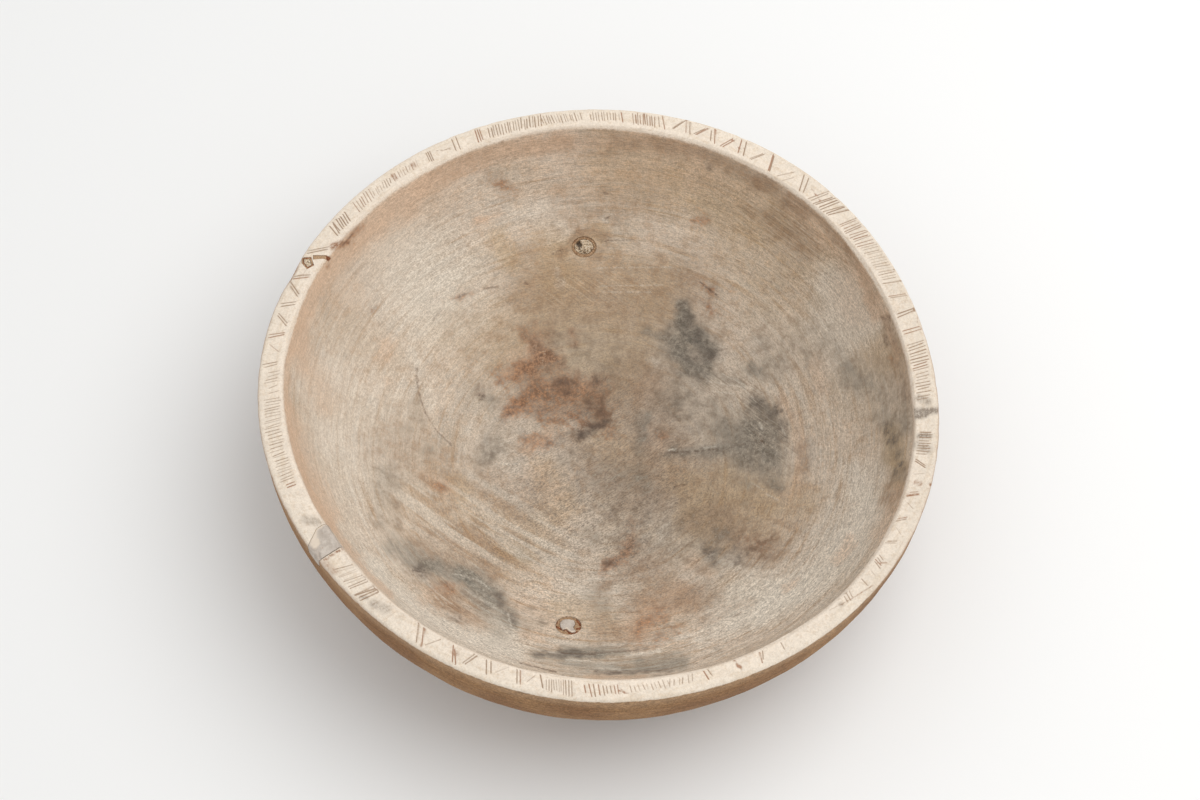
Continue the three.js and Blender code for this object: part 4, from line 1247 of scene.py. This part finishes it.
# Drawn lines: how fine the mesh gets near them, how deep they are cut, and how they waver and fade
LINE_REACH = 1.6
LINE_STEP = 0.42
LINE_PASSES = 3
LINE_GROOVE = 0.3
LINE_MARGIN = 6
LINE_WAVER = [(0.35, 3.5, 61), (0.25, 1.4, 62)]
LINE_WIDTHS = (0.35, 2)
LINE_STRENGTHS = (0.4, 1.15)
LINE_FADE = (0.3, 1.35)
REFINED_SHARE = 0.8
BELOW_RIM = 1.0
FAR_AWAY = 1e9


def near_path(places, path, margin):
    """Which places are near a path, and how far those are from it."""
    low, high = np.min(path, axis=0) - margin, np.max(path, axis=0) + margin
    near = np.all((places > low) & (places < high), axis=1)
    return near, path_distance(places[near], path)


def line_distance(places, strokes, reach):
    """Least distance to any of the lines, beyond the line's own half width."""
    least = np.full(len(places), FAR_AWAY)
    for half_width, _, *path in strokes:
        near, away = near_path(places, path, 2 * LINE_MARGIN)
        least[near] = np.minimum(least[near], away - reach * half_width)
    return least


def line_cover(points, places, strokes):
    """Crisp lines whose width and strength waver, from 0 to 1."""
    cover = np.zeros(len(places))
    waver = uneven(points, 1, LINE_WAVER)
    for half_width, strength, *path in strokes:
        near, away = near_path(places, path, LINE_MARGIN)
        edge = smooth_step(away / (half_width * np.clip(waver[near], *LINE_WIDTHS)), *LINE_FADE)
        share = strength * (1 - edge) * np.clip(waver[near], *LINE_STRENGTHS)
        cover[near] = np.maximum(cover[near], share)
    return cover


def refine_near_lines():
    """Cuts the bowl's inside finer along the drawn cracks and scratches."""
    shape = bmesh.new()
    shape.from_mesh(bowl.data)
    for _ in range(LINE_PASSES):
        shape.verts.index_update()
        edges = list(shape.edges)
        points = np.array([vertex.co[:] for vertex in shape.verts]) / MM - offset
        ends = np.array([(edge.verts[0].index, edge.verts[1].index) for edge in edges])
        middle = points[ends].mean(axis=1)
        length = np.linalg.norm(points[ends[:, 0]] - points[ends[:, 1]], axis=1)
        away = line_distance(picture_places(middle), DARK_LINES + PALE_LINES, LINE_REACH)
        chosen = (away < length * REFINED_SHARE) & (length > LINE_STEP)
        chosen &= ~is_outside(middle) & (middle[:, 2] < HEIGHT - BELOW_RIM)
        bmesh.ops.subdivide_edges(shape, edges=[edges[i] for i in np.flatnonzero(chosen)], cuts=1)
    bmesh.ops.triangulate(shape, faces=[face for face in shape.faces if len(face.verts) > 3])
    shape.to_mesh(bowl.data)
    shape.free()


def point_normals(obj):
    flat = np.empty(len(obj.data.vertices) * 3, np.float32)
    obj.data.vertex_normals.foreach_get("vector", flat)
    return flat.reshape(-1, 3)


def carve_lines():
    """Sinks the dark lines a little into the wood."""
    points = mesh_points(bowl)
    cover = line_cover(points, picture_places(points), DARK_LINES) * ~is_outside(points)
    move_points(bowl, points - LINE_GROOVE * cover[:, None] * point_normals(bowl))


# What the materials read at each point

def add_value(obj, name, values):
    obj.data.attributes.new(name, "FLOAT", "POINT").data.foreach_set("value", values.astype(np.float32))


def add_vector(obj, name, columns):
    data = obj.data.attributes.new(name, "FLOAT_VECTOR", "POINT").data
    data.foreach_set("vector", np.column_stack(columns).astype(np.float32).ravel())


def smooth_step(value, low, high):
    share = np.clip((value - low) / (high - low), 0, 1)
    return share * share * (3 - 2 * share)


def polar(points):
    """Depth below the rim, azimuth and radius of points, the last two without the foot's drift."""
    depth = HEIGHT - points[:, 2]
    drift_x, drift_y = foot_drift(depth)
    x = points[:, 0] - drift_x
    y = points[:, 1] - drift_y
    return depth, np.arctan2(y, x), np.hypot(x, y)


GRAIN_RADIUS = 150.0


def shared_attributes(obj):
    """The picture place of every point, and its place in a space where the grain runs round the bowl."""
    points = mesh_points(obj)
    _, azimuth, radius = polar(points)
    places = picture_places(points)
    add_vector(obj, "place", [places, 0 * radius])
    around = [GRAIN_RADIUS * np.cos(azimuth), GRAIN_RADIUS * np.sin(azimuth), radius + points[:, 2]]
    add_vector(obj, "ring", around)
    return points, places


VOID_SWELLS = [(0.3, 2.4, 33)]
PIT_SHARE = 0.75


def void_cover(points, places):
    """1 in the dark holes of the dead knot on the wall."""
    reach = VOID_REACH * uneven(points, 1, VOID_SWELLS)
    cover = np.exp(-(path_distance(places, KNOT_VOID) / reach) ** 4)
    for x, y in KNOT_PITS:
        cover = np.maximum(cover, PIT_SHARE * spot(places, x, y, PIT_REACH))
    return cover


def is_outside(points):
    depth, azimuth, radius = polar(points)
    middle = (inner_radius(np.clip(depth, 0, CAVITY_DEPTH)) * inside_scale(azimuth, depth)
              + outer_radius(depth) * outside_scale(azimuth, depth)) / 2
    return (radius > middle) | (points[:, 2] < FLOOR_THICKNESS / 2)


# Zones of the bowl in millimetres: where each begins to fade and where it ends
RIM_ZONE = (0.9, 2.6)
CUT_ZONE = 3.0
MIDDLE_ZONE = (30, 110)
DARK_ZONE = (45, 175)
# Where the band below the rim fades, in which the outside is painted lighter as painted light
PAINTED_LIGHT_BELOW_RIM_ZONE = (3.0, 13.0)
DARK_TONE = 0.75
DARK_MIDDLE = (32.0, 6.0)
ARC_FADE = 12
# Thin dark lines along parts of the rim's inner and outer edges, partly painted shade
EDGE_LINES = {
    "inner": {"depth": 2.2, "spread": 0.8, "arcs": [(165, 260, 0.55), (-45, 15, 0.5), (60, 110, 0.3)]},
    "outer": {"depth": 1.7, "spread": 0.8, "arcs": [(150, 235, 0.7), (-35, 10, 0.8)]},
}
STAIN_AND_SHADE_GROUPS = {
    "stain_first": ("warm", "grey", "rust"),
    "stain_second": ("dark", "pale", "olive"),
    "stain_and_shade_third": ("blue", "brown", "scratch"),
}


def edge_line(side, depth, azimuth):
    """A thin dark brown line that follows an edge of the rim over parts of its round: partly the wood's
    colour, partly painted shade where the edge turns down.
    """
    line = EDGE_LINES[side]
    turn = np.degrees(azimuth)
    share = np.zeros(len(depth))
    for first, last, strength in line["arcs"]:
        middle, half = (first + last) / 2, (last - first) / 2
        away = np.abs((turn - middle + 180) % 360 - 180)
        share = np.maximum(share, strength * (1 - smooth_step(away, half - ARC_FADE, half + ARC_FADE)))
    return share * np.exp(-((depth - line["depth"]) / line["spread"]) ** 2)


def bowl_attributes():
    """Everything that the bowl's material reads."""
    points, places = shared_attributes(bowl)
    depth, azimuth, radius = polar(points)
    outside = is_outside(points)
    inside = np.where(outside, 0.0, 1.0)
    rim = 1 - smooth_step(depth, *RIM_ZONE)
    add_value(bowl, "rim", rim)
    add_value(bowl, "outside", outside.astype(float))
    add_value(bowl, "middle", 1 - smooth_step(radius, *MIDDLE_ZONE))

    cover, red = np.zeros(len(points)), np.zeros(len(points))
    near = depth < CUT_ZONE
    cover[near], red[near] = cut_cover(points[near, :2])
    inner, outer = flat_edges(azimuth)
    add_vector(bowl, "cut", [cover * rim, red * rim, np.clip((radius - inner) / (outer - inner), 0, 1)])

    loose = wandered(points, places)
    covers = {name: stroke_cover(loose, strokes) * inside for name, strokes in STAINS_AND_SHADE.items()}
    for name, group in STAIN_AND_SHADE_GROUPS.items():
        add_vector(bowl, name, [covers[stain] for stain in group])
    smudges = [stroke_cover(places, RIM_SMUDGES[name]) * rim for name in ("brown", "grey")]
    add_vector(bowl, "smudges", [*smudges, covers["figure"]])
    lines = [line_cover(points, places, strokes) * inside for strokes in (DARK_LINES, PALE_LINES)]
    add_vector(bowl, "lines", [*lines, 0 * inside])

    from_dark = np.hypot(points[:, 0] - DARK_MIDDLE[0], points[:, 1] - DARK_MIDDLE[1])
    tone = 1 - (1 - DARK_TONE) * (1 - smooth_step(from_dark, *DARK_ZONE)) * ~outside
    # The thin dark line along the rim's edges is partly painted shade; the third tone is the band below the
    # rim where the outside gets painted light
    edge = np.where(outside, edge_line("outer", depth, azimuth), edge_line("inner", depth, azimuth))
    add_vector(bowl, "tones", [tone, edge, 1 - smooth_step(depth, *PAINTED_LIGHT_BELOW_RIM_ZONE)])
    bend = (FIGURE_LEVEL_AT - places[:, 0]) ** 2 / FIGURE_BEND
    add_vector(bowl, "flow", [places[:, 0], places[:, 1] + bend, 0 * bend])


# Discs of the unrolled bowl: middle and radius on the map, and the reach in millimetres at the disc's edge
INSIDE_DISC = (0.368, 0.36, 330.0)
OUTSIDE_DISC = (0.78, 0.214, 300.0)
UNROLLED_RIM_WIDTH = 30
UNROLLED_RIM_DEPTH = 12
RIM_FACE_DEPTH = 4


def bake_map():
    """Unrolls the inside and the rim on one disc and the outside on another."""
    points = mesh_points(bowl)
    depth, azimuth, radius = polar(points)
    outside = is_outside(points)
    inner, _ = flat_edges(azimuth)
    across = np.clip(radius - inner, 0, UNROLLED_RIM_WIDTH) * (depth < UNROLLED_RIM_DEPTH)
    inside_reach = radius + points[:, 2] - FLOOR_THICKNESS + across
    outside_reach = radius + points[:, 2]
    layer = bowl.data.uv_layers.new(name="OFBake")
    values = np.empty(len(bowl.data.loops) * 2, np.float32)
    for polygon in bowl.data.polygons:
        corners = np.array(polygon.vertices)
        on_rim = points[corners, 2].mean() > HEIGHT - RIM_FACE_DEPTH
        within = on_rim or not outside[corners].all()
        middle, size, full = INSIDE_DISC if within else OUTSIDE_DISC
        reach = inside_reach if within else outside_reach
        share = np.minimum(reach[corners] / full, 1) * size
        loops = np.arange(polygon.loop_start, polygon.loop_start + polygon.loop_total)
        values[2 * loops] = middle + share * np.cos(azimuth[corners])
        values[2 * loops + 1] = middle + share * np.sin(azimuth[corners])
    layer.data.foreach_set("uv", values)


BOWL_SHARP_ANGLE = 55
PIECE_SHARP_ANGLE = 70


def smooth_shading(obj, sharp_angle):
    obj.data.shade_smooth()
    obj.data.set_sharp_from_angle(angle=math.radians(sharp_angle))


refine_near_lines()
carve_lines()
bowl_attributes()
bake_map()
smooth_shading(bowl, BOWL_SHARP_ANGLE)
for piece, _ in small_pieces:
    piece_points, piece_places = shared_attributes(piece)
    add_value(piece, "mark", stroke_cover(piece_places, BARK_MARKS))
    add_value(piece, "void", void_cover(piece_points, piece_places))
    smooth_shading(piece, PIECE_SHARP_ANGLE)


# Materials

def srgb(red, green, blue):
    """A colour of the shaders from the usual 0 to 255 values."""
    values = [v / 255 for v in (red, green, blue)]
    return (*[v / 12.92 if v <= 0.04045 else ((v + 0.055) / 1.055) ** 2.4 for v in values], 1.0)


SPECULAR_LEVEL = 0.25


class Graph:
    """Short ways to add and join the nodes of one material."""

    def __init__(self, name):
        self.material = bpy.data.materials.new(name)
        self.material.use_nodes = True
        self.tree = self.material.node_tree
        self.shader = self.tree.nodes["Principled BSDF"]
        self.shader.inputs["Specular IOR Level"].default_value = SPECULAR_LEVEL
        self.place = self.attribute("place", "Vector")
        self.ring = self.attribute("ring", "Vector")
        self.spot = self.vector("SCALE", self.add("TexCoord").outputs["Object"], scale=1 / MM)

    def add(self, kind, **settings):
        node = self.tree.nodes.new("ShaderNode" + kind)
        for name, value in settings.items():
            setattr(node, name, value)
        return node

    def feed(self, socket, value):
        if isinstance(value, bpy.types.NodeSocket):
            self.tree.links.new(value, socket)
        else:
            socket.default_value = value

    def attribute(self, name, output="Fac"):
        return self.add("Attribute", attribute_name=name).outputs[output]

    def parts(self, name):
        node = self.add("SeparateXYZ")
        self.feed(node.inputs[0], self.attribute(name, "Vector"))
        return node.outputs[0], node.outputs[1], node.outputs[2]

    def math(self, operation, first, second):
        node = self.add("Math", operation=operation)
        self.feed(node.inputs[0], first)
        self.feed(node.inputs[1], second)
        return node.outputs[0]

    def times(self, first, second):
        return self.math("MULTIPLY", first, second)

    def plus(self, first, second):
        return self.math("ADD", first, second)

    def vector(self, operation, first, second=None, scale=None):
        node = self.add("VectorMath", operation=operation)
        self.feed(node.inputs[0], first)
        if second is not None:
            self.feed(node.inputs[1], second)
        if scale is not None:
            self.feed(node.inputs["Scale"], scale)
        return node.outputs["Vector"]

    def grade(self, value, low, high, start=0.0, end=1.0):
        """A soft step: start where the value is at low, end where it is at high."""
        node = self.add("MapRange", interpolation_type="SMOOTHSTEP")
        for name, number in (("From Min", low), ("From Max", high), ("To Min", start), ("To Max", end)):
            node.inputs[name].default_value = number
        self.feed(node.inputs["Value"], value)
        return node.outputs["Result"]

    def span(self, value, start, end):
        return self.grade(value, 0, 1, start, end)

    def noise(self, vector, size, detail=2.0, roughness=0.5, distortion=0.0):
        node = self.add("TexNoise")
        self.feed(node.inputs["Vector"], vector)
        settings = {"Scale": 1 / size, "Detail": detail, "Roughness": roughness, "Distortion": distortion}
        for name, number in settings.items():
            node.inputs[name].default_value = number
        return node.outputs["Fac"]

    def cloud(self, size, detail=2.0, roughness=0.5, low=0.3, high=0.7):
        """Noise of one size in millimetres, spread from 0 to 1."""
        return self.grade(self.noise(self.spot, size, detail, roughness), low, high)

    def mix(self, kind, first_input, share, first, second):
        node = self.add("Mix", data_type=kind)
        self.feed(node.inputs[0], share)
        self.feed(node.inputs[first_input], first)
        self.feed(node.inputs[first_input + 1], second)
        return node.outputs[0 if kind == "FLOAT" else 2]

    def blend(self, share, first, second):
        return self.mix("RGBA", 6, share, first, second)

    def mix_values(self, share, first, second):
        return self.mix("FLOAT", 2, share, first, second)

    def shade(self, color, factor):
        return self.vector("SCALE", color, scale=factor)

    def fibre(self, along, across, seed=0.0, detail=2.0):
        """Noise drawn out round the bowl: its length along the grain and its width, in millimetres."""
        stretched = self.vector("MULTIPLY", self.ring, (1 / along, 1 / along, 1 / across))
        moved = self.vector("ADD", stretched, (seed, 0.0, seed))
        return self.noise(moved, 1.0, detail, 0.55, 0.3)

    def drawn_out(self, vector, direction, along, across, seed=0.0):
        """Places turned to a direction in degrees and scaled down along it and across it."""
        node = self.add("Mapping", vector_type="TEXTURE")
        self.feed(node.inputs["Vector"], vector)
        node.inputs["Rotation"].default_value = (0, 0, math.radians(direction))
        node.inputs["Location"].default_value = (seed, seed, 0)
        node.inputs["Scale"].default_value = (along, across, across)
        return node.outputs[0]

    def straight(self, direction, along, across, seed, detail):
        """Noise drawn out in one direction seen from above."""
        return self.noise(self.drawn_out(self.spot, direction, along, across, seed), 1.0, detail, 0.55, 0.2)

    def bump(self, height, distance, strength=1.0):
        node = self.add("Bump")
        node.inputs["Strength"].default_value = strength
        node.inputs["Distance"].default_value = distance * MM
        self.feed(node.inputs["Height"], height)
        return node.outputs["Normal"]

    def finish(self, color, roughness, normal):
        self.feed(self.shader.inputs["Base Color"], color)
        self.feed(self.shader.inputs["Roughness"], roughness)
        self.feed(self.shader.inputs["Normal"], normal)
        return self.material


# Picture columns between which the grain grows stronger, and between which the rim goes from painted light
# to painted shade, and picture rows between which the streaks grow stronger
LEFT_SIDE = (290, 520)
RIM_LIGHT_TO_SHADE_COLUMNS = (700, 930)
NEAR_SIDE = (400, 600)

# Directions of the straight grain in the middle of the floor, and of its scratches in the picture
FINE_GRAIN_DIRECTION = 35
GRAIN_DIRECTION = 30
SCRATCH_DIRECTION = 36


class BowlGraph(Graph):
    """The bowl's material, with the noises that its inside, outside and rim share."""

    def __init__(self, name):
        super().__init__(name)
        self.middle = self.attribute("middle")
        # The edge line is partly painted shade; the band below the rim is painted light
        self.tone, self.edge, self.painted_light_below_rim = self.parts("tones")
        self.brown_smudge, self.grey_smudge, self.figure = self.parts("smudges")
        self.dark_lines, self.pale_lines, _ = self.parts("lines")
        self.place_x, place_y, _ = self.parts("place")
        self.near_side = self.grade(place_y, *NEAR_SIDE)
        self.speckle = self.cloud(1.15, 2, 0.85, 0.38, 0.62)
        self.grit = self.cloud(2.6, 3, 0.75, 0.34, 0.66)
        self.mottle = self.cloud(8.0, 4, 0.7)
        self.broad = self.cloud(50.0, 3, 0.5, 0.35, 0.65)
        moved = self.vector("ADD", self.spot, (40.0, 0.0, 9.0))
        self.patch = self.grade(self.noise(moved, 15.0, 4, 0.6), 0.3, 0.7)
        straight = self.straight(FINE_GRAIN_DIRECTION, 3.0, 0.8, 5.0, 3)
        fine = self.mix_values(self.middle, self.fibre(2.8, 0.8, 3.0, 3), straight)
        self.fine = self.grade(fine, 0.32, 0.68)
        straight = self.straight(GRAIN_DIRECTION, 12.0, 3.2, 11.0, 4)
        drawn = self.mix_values(self.middle, self.fibre(18.0, 3.0, 9.0, 4), straight)
        self.drawn = self.grade(drawn, 0.3, 0.7)
        dust = self.times(self.plus(self.speckle, self.grit), 0.35)
        self.loose = self.plus(dust, self.times(self.fine, 0.3))
        self.grain = self.grain_factor()

    def grain_factor(self):
        """How the grain lightens and darkens the wood, stronger to the right and on the near side."""
        grain = self.times(self.span(self.speckle, 0.87, 1.11), self.span(self.grit, 0.94, 1.06))
        grain = self.times(grain, self.span(self.fine, 0.87, 1.12))
        grain = self.times(grain, self.span(self.drawn, 0.95, 1.04))
        share = self.times(self.grade(self.place_x, *LEFT_SIDE, 0.55, 1.1), self.span(self.middle, 1, 1.3))
        share = self.times(share, self.span(self.near_side, 1, 1.35))
        return self.plus(self.times(self.plus(grain, -1.0), share), 1.0)

    def layered(self, color, layers):
        """Lays colours over one another, each with its cover and its strength."""
        for cover, strength, layer_color in layers:
            color = self.blend(self.times(cover, strength), color, layer_color)
        return color

    def streaked(self, color, cover, streaks, light, dark):
        """Light and dark streaks of a noise, each given by its two steps, its strength and its colour."""
        for low, high, strength, streak_color in (light, dark):
            share = self.times(cover, self.grade(streaks, low, high))
            color = self.layered(color, [(share, strength, streak_color)])
        return color

    def stained(self, color, cover, coarse, wild, stain_color):
        """Lays a see-through stain. Noise breaks up its thin parts and leaves its core whole."""
        noise = self.plus(self.times(coarse, 0.4), self.times(self.loose, 0.6))
        power = self.grade(noise, 0.2, 0.8, 1 + 1.8 * wild, 1 / (1 + 3.2 * wild))
        return self.layered(color, [(self.math("POWER", cover, power), 0.95, stain_color)])


def bowl_inside(g, pores):
    """The bleached and stained wood of the inside, with a little painted shade just below the rim."""
    warm, grey, rust = g.parts("stain_first")
    dark, pale, olive = g.parts("stain_second")
    blue, brown, scratch = g.parts("stain_and_shade_third")
    wood = g.blend(g.broad, srgb(207, 190, 171), srgb(196, 179, 159))
    wood = g.layered(wood, [
        (g.grade(g.mottle, 0.45, 1.0), 0.4, srgb(180, 152, 124)),
        (g.grade(g.patch, 0.5, 1.0), 0.3, srgb(176, 167, 155)),
    ])
    sweep_share = g.times(g.span(g.middle, 1, 0.3), g.span(g.patch, 0.4, 1))
    sweep_share = g.times(sweep_share, g.span(g.near_side, 1, 1.5))
    brown_sweep, white_sweep = (0.52, 0.68, 0.55, srgb(170, 138, 104)), (0.48, 0.34, 0.5, srgb(216, 204, 188))
    wood = g.streaked(wood, sweep_share, g.fibre(70.0, 5.0, 23.0, 4), brown_sweep, white_sweep)

    rust_color = g.blend(g.grit, srgb(108, 71, 48), srgb(172, 126, 91))
    blue_color = g.blend(g.grit, srgb(112, 108, 98), srgb(144, 138, 126))
    grey_color = g.blend(g.grit, srgb(103, 96, 86), srgb(151, 142, 128))
    for cover, coarse, wild, color in (
        (olive, g.patch, 0.15, srgb(184, 155, 116)),
        (pale, g.drawn, 0.3, srgb(215, 205, 190)),
        (warm, g.drawn, 0.12, srgb(206, 176, 149)),
        # The brown layer is partly painted shade, where it runs just below the rim
        (brown, g.mottle, 0.3, srgb(146, 117, 91)),
        (rust, g.mottle, 0.7, rust_color),
        (blue, g.drawn, 0.8, blue_color),
        (grey, g.mottle, 0.8, grey_color),
        (dark, g.mottle, 1.0, srgb(88, 76, 68)),
    ):
        wood = g.stained(wood, cover, coarse, wild, color)

    flow = g.vector("MULTIPLY", g.attribute("flow", "Vector"), (1 / 120, 1 / 12, 0))
    light, dark = (0.48, 0.6, 0.75, srgb(214, 203, 187)), (0.46, 0.36, 0.45, srgb(160, 132, 104))
    wood = g.streaked(wood, g.figure, g.noise(flow, 1.0, 3, 0.5, 0.2), light, dark)
    scratches = g.noise(g.drawn_out(g.place, SCRATCH_DIRECTION, 34.0, 1.5), 1.0, 2, 0.5, 0.15)
    light, dark = (0.52, 0.64, 0.5, srgb(214, 198, 176)), (0.46, 0.36, 0.45, srgb(126, 102, 78))
    wood = g.streaked(wood, scratch, scratches, light, dark)
    # Pale scratches, and the painted highlight along the crack's lip
    wood = g.layered(wood, [(g.pale_lines, 0.8, srgb(222, 212, 196))])
    wood = g.blend(g.dark_lines, wood, srgb(98, 76, 60))
    wood = g.shade(wood, g.times(g.grain, g.tone))
    return g.layered(wood, [(pores, 0.3, srgb(112, 88, 66))])


def bowl_outside(g):
    """The browner wood of the outside, kept dark as partly painted shade, with painted light in a band just
    below the rim.
    """
    # The outside's browns are darker than its wood, partly as painted shade
    wood = g.blend(g.broad, srgb(157, 120, 82), srgb(137, 100, 66))
    wood = g.layered(wood, [
        (g.grade(g.drawn, 0.5, 1.0), 0.5, srgb(116, 84, 57)),
        # The band just below the rim, painted lighter as painted light
        (g.painted_light_below_rim, 0.75, srgb(173, 141, 108)),
    ])
    return g.shade(wood, g.grain)


def bowl_rim(g):
    """The pale scraped flat of the rim, with its smudges and its cuts."""
    cut, cut_red, across = g.parts("cut")
    flat = g.blend(across, srgb(226, 212, 195), srgb(224, 211, 194))
    flat = g.layered(flat, [
        (g.grade(g.grit, 0.62, 1.0), 0.3, srgb(198, 172, 142)),
        (g.grade(g.drawn, 0.6, 1.0), 0.25, srgb(200, 178, 150)),
    ])
    flat = g.shade(flat, g.times(g.span(g.speckle, 0.93, 1.05), g.span(g.mottle, 0.97, 1.03)))
    # Painted light and shade: the rim's flat is a little lighter up to one picture column and darker towards
    # the right
    flat = g.shade(flat, g.grade(g.place_x, *RIM_LIGHT_TO_SHADE_COLUMNS, 1.03, 0.95))
    rough_edge = g.grade(g.loose, 0.2, 0.8, 0.5, 1.4)
    for smudge, most, color in (
        (g.brown_smudge, 0.9, srgb(142, 98, 66)),
        (g.grey_smudge, 0.85, srgb(120, 108, 96)),
    ):
        flat = g.blend(g.math("MINIMUM", g.times(smudge, rough_edge), most), flat, color)
    cut_share = g.grade(g.times(cut, g.span(g.speckle, 0.8, 1.15)), 0.08, 0.65, 0, 0.82)
    return g.blend(cut_share, flat, g.blend(cut_red, srgb(142, 112, 86), srgb(156, 98, 64)))


def bowl_wood():
    g = BowlGraph("bleached_root_wood")
    pores = g.times(g.grade(g.fibre(2.2, 0.7, 17.0, 1), 0.64, 0.74), g.grade(g.grit, 0.3, 0.8))
    wood = g.blend(g.attribute("outside"), bowl_inside(g, pores), bowl_outside(g))
    rim_share = g.grade(g.plus(g.attribute("rim"), g.times(g.plus(g.grit, -0.5), 0.35)), 0.2, 0.8)
    wood = g.blend(rim_share, wood, bowl_rim(g))
    # The thin dark line along parts of the rim's edges, partly painted shade
    wood = g.blend(g.times(g.edge, g.span(g.mottle, 0.5, 1.0)), wood, srgb(146, 106, 76))
    height = g.plus(g.times(g.fine, 0.25), g.times(g.speckle, 0.2))
    height = g.plus(height, g.times(g.drawn, 0.3))
    height = g.math("SUBTRACT", height, g.times(g.dark_lines, 0.6))
    height = g.math("SUBTRACT", height, g.times(pores, 0.15))
    return g.finish(wood, g.span(g.drawn, 0.7, 0.85), g.bump(height, 0.35, 0.8))


def knot_wood():
    g = Graph("knot_wood")
    grain = g.cloud(1.3, 4, 0.7)
    crumbs = g.cloud(1.2, 3, 0.7)
    rings = g.grade(g.fibre(4.0, 0.7, 31.0), 0.3, 0.7)
    wood = g.blend(grain, srgb(232, 211, 182), srgb(204, 180, 149))
    wood = g.shade(wood, g.span(rings, 0.9, 1.06))
    wood = g.blend(g.grade(crumbs, 0.65, 0.9, 0, 0.8), wood, srgb(232, 222, 206))
    wood = g.blend(g.grade(crumbs, 0.4, 0.12, 0, 0.8), wood, srgb(88, 72, 58))
    wood = g.blend(g.grade(g.attribute("void"), 0.3, 0.8, 0, 0.8), wood, srgb(86, 70, 58))
    height = g.plus(g.times(grain, 0.6), g.times(crumbs, 0.4))
    return g.finish(wood, 0.85, g.bump(height, 0.6))


def bark():
    g = Graph("bark")
    grain = g.cloud(1.4, 4, 0.7)
    streaks = g.grade(g.fibre(3.0, 0.6, 41.0), 0.3, 0.7)
    pale = g.blend(grain, srgb(203, 170, 136), srgb(174, 139, 106))
    deep = g.blend(streaks, srgb(112, 66, 42), srgb(168, 108, 74))
    share = g.grade(g.plus(g.attribute("mark"), g.times(g.plus(grain, -0.5), 0.5)), 0.15, 0.6)
    height = g.plus(g.times(grain, 0.6), g.times(streaks, 0.4))
    return g.finish(g.blend(share, pale, deep), g.span(grain, 0.8, 0.95), g.bump(height, 0.7))


def pale_putty():
    g = Graph("pale_putty")
    cloud = g.cloud(5.0, 3, 0.6)
    grit = g.cloud(0.8, 3, 0.7)
    color = g.blend(cloud, srgb(200, 189, 177), srgb(178, 166, 154))
    color = g.shade(color, g.span(grit, 0.94, 1.04))
    color = g.blend(g.grade(g.noise(g.spot, 2.4, 2), 0.64, 0.74, 0, 0.4), color, srgb(158, 124, 98))
    worn = g.grade(g.plus(g.attribute("mark"), g.times(g.plus(cloud, -0.5), 0.5)), 0.2, 0.8)
    color = g.blend(worn, color, srgb(216, 201, 183))
    height = g.plus(g.times(cloud, 0.5), g.times(grit, 0.3))
    return g.finish(color, g.span(cloud, 0.6, 0.78), g.bump(height, 0.3))


def give(obj, material):
    obj.data.materials.clear()
    obj.data.materials.append(material)


give(bowl, bowl_wood())
finishes = {"knot_wood": knot_wood(), "bark": bark(), "pale_putty": pale_putty()}
for piece, slot in small_pieces:
    give(piece, finishes[slot])


# Stage, lamps and camera

FLOOR_REACH = 6.0
FLOOR_COLOR = (0.86, 0.86, 0.85, 1)
FLOOR_ROUGHNESS = 0.9
WORLD_LIGHT = 0.75
KEY_PLACE = (0.8, 0.1, 1.7)
KEY_TARGET = (0, 0, 0.05)
KEY_SIZE = 1.8
KEY_POWER = 18


def stage_floor():
    mesh = bpy.data.meshes.new("floor")
    corners = [(-FLOOR_REACH, -FLOOR_REACH, 0), (FLOOR_REACH, -FLOOR_REACH, 0),
               (FLOOR_REACH, FLOOR_REACH, 0), (-FLOOR_REACH, FLOOR_REACH, 0)]
    mesh.from_pydata(corners, [], [(0, 1, 2, 3)])
    floor = bpy.data.objects.new("floor", mesh)
    bpy.context.scene.collection.objects.link(floor)
    material = bpy.data.materials.new("floor")
    material.use_nodes = True
    shader = material.node_tree.nodes["Principled BSDF"]
    shader.inputs["Base Color"].default_value = FLOOR_COLOR
    shader.inputs["Roughness"].default_value = FLOOR_ROUGHNESS
    mesh.materials.append(material)


def key_lamp():
    lamp = bpy.data.lights.new("key", "AREA")
    lamp.shape = "DISK"
    lamp.size = KEY_SIZE
    lamp.energy = KEY_POWER
    obj = bpy.data.objects.new("key", lamp)
    obj.location = KEY_PLACE
    obj.rotation_euler = (Vector(KEY_TARGET) - Vector(KEY_PLACE)).to_track_quat("-Z", "Y").to_euler()
    bpy.context.scene.collection.objects.link(obj)


def studio():
    """An even world that is white where it is seen, also in gloss and through glass."""
    world = bpy.data.worlds.new("studio")
    bpy.context.scene.world = world
    world.use_nodes = True
    nodes, links = world.node_tree.nodes, world.node_tree.links
    background = nodes["Background"]
    background.inputs["Color"].default_value = (1, 1, 1, 1)
    rays = nodes.new("ShaderNodeLightPath").outputs
    seen = rays["Is Camera Ray"]
    for kind in ("Is Glossy Ray", "Is Transmission Ray"):
        either = nodes.new("ShaderNodeMath")
        either.operation = "MAXIMUM"
        links.new(seen, either.inputs[0])
        links.new(rays[kind], either.inputs[1])
        seen = either.outputs[0]
    strength = nodes.new("ShaderNodeMapRange")
    strength.inputs["To Min"].default_value = WORLD_LIGHT
    strength.inputs["To Max"].default_value = 1.0
    links.new(seen, strength.inputs["Value"])
    links.new(strength.outputs[0], background.inputs["Strength"])


stage_floor()
studio()
key_lamp()

camera = bpy.data.cameras.new("camera")
camera.lens = LENS
camera.sensor_width = SENSOR_WIDTH
camera_object = bpy.data.objects.new("camera", camera)
camera_object.location = to_scene(camera_place)
camera_object.rotation_euler = (math.pi / 2 - CAMERA_ELEVATION, 0, 0)
bpy.context.scene.collection.objects.link(camera_object)
bpy.context.scene.camera = camera_object
bpy.context.scene.view_settings.view_transform = "Standard"
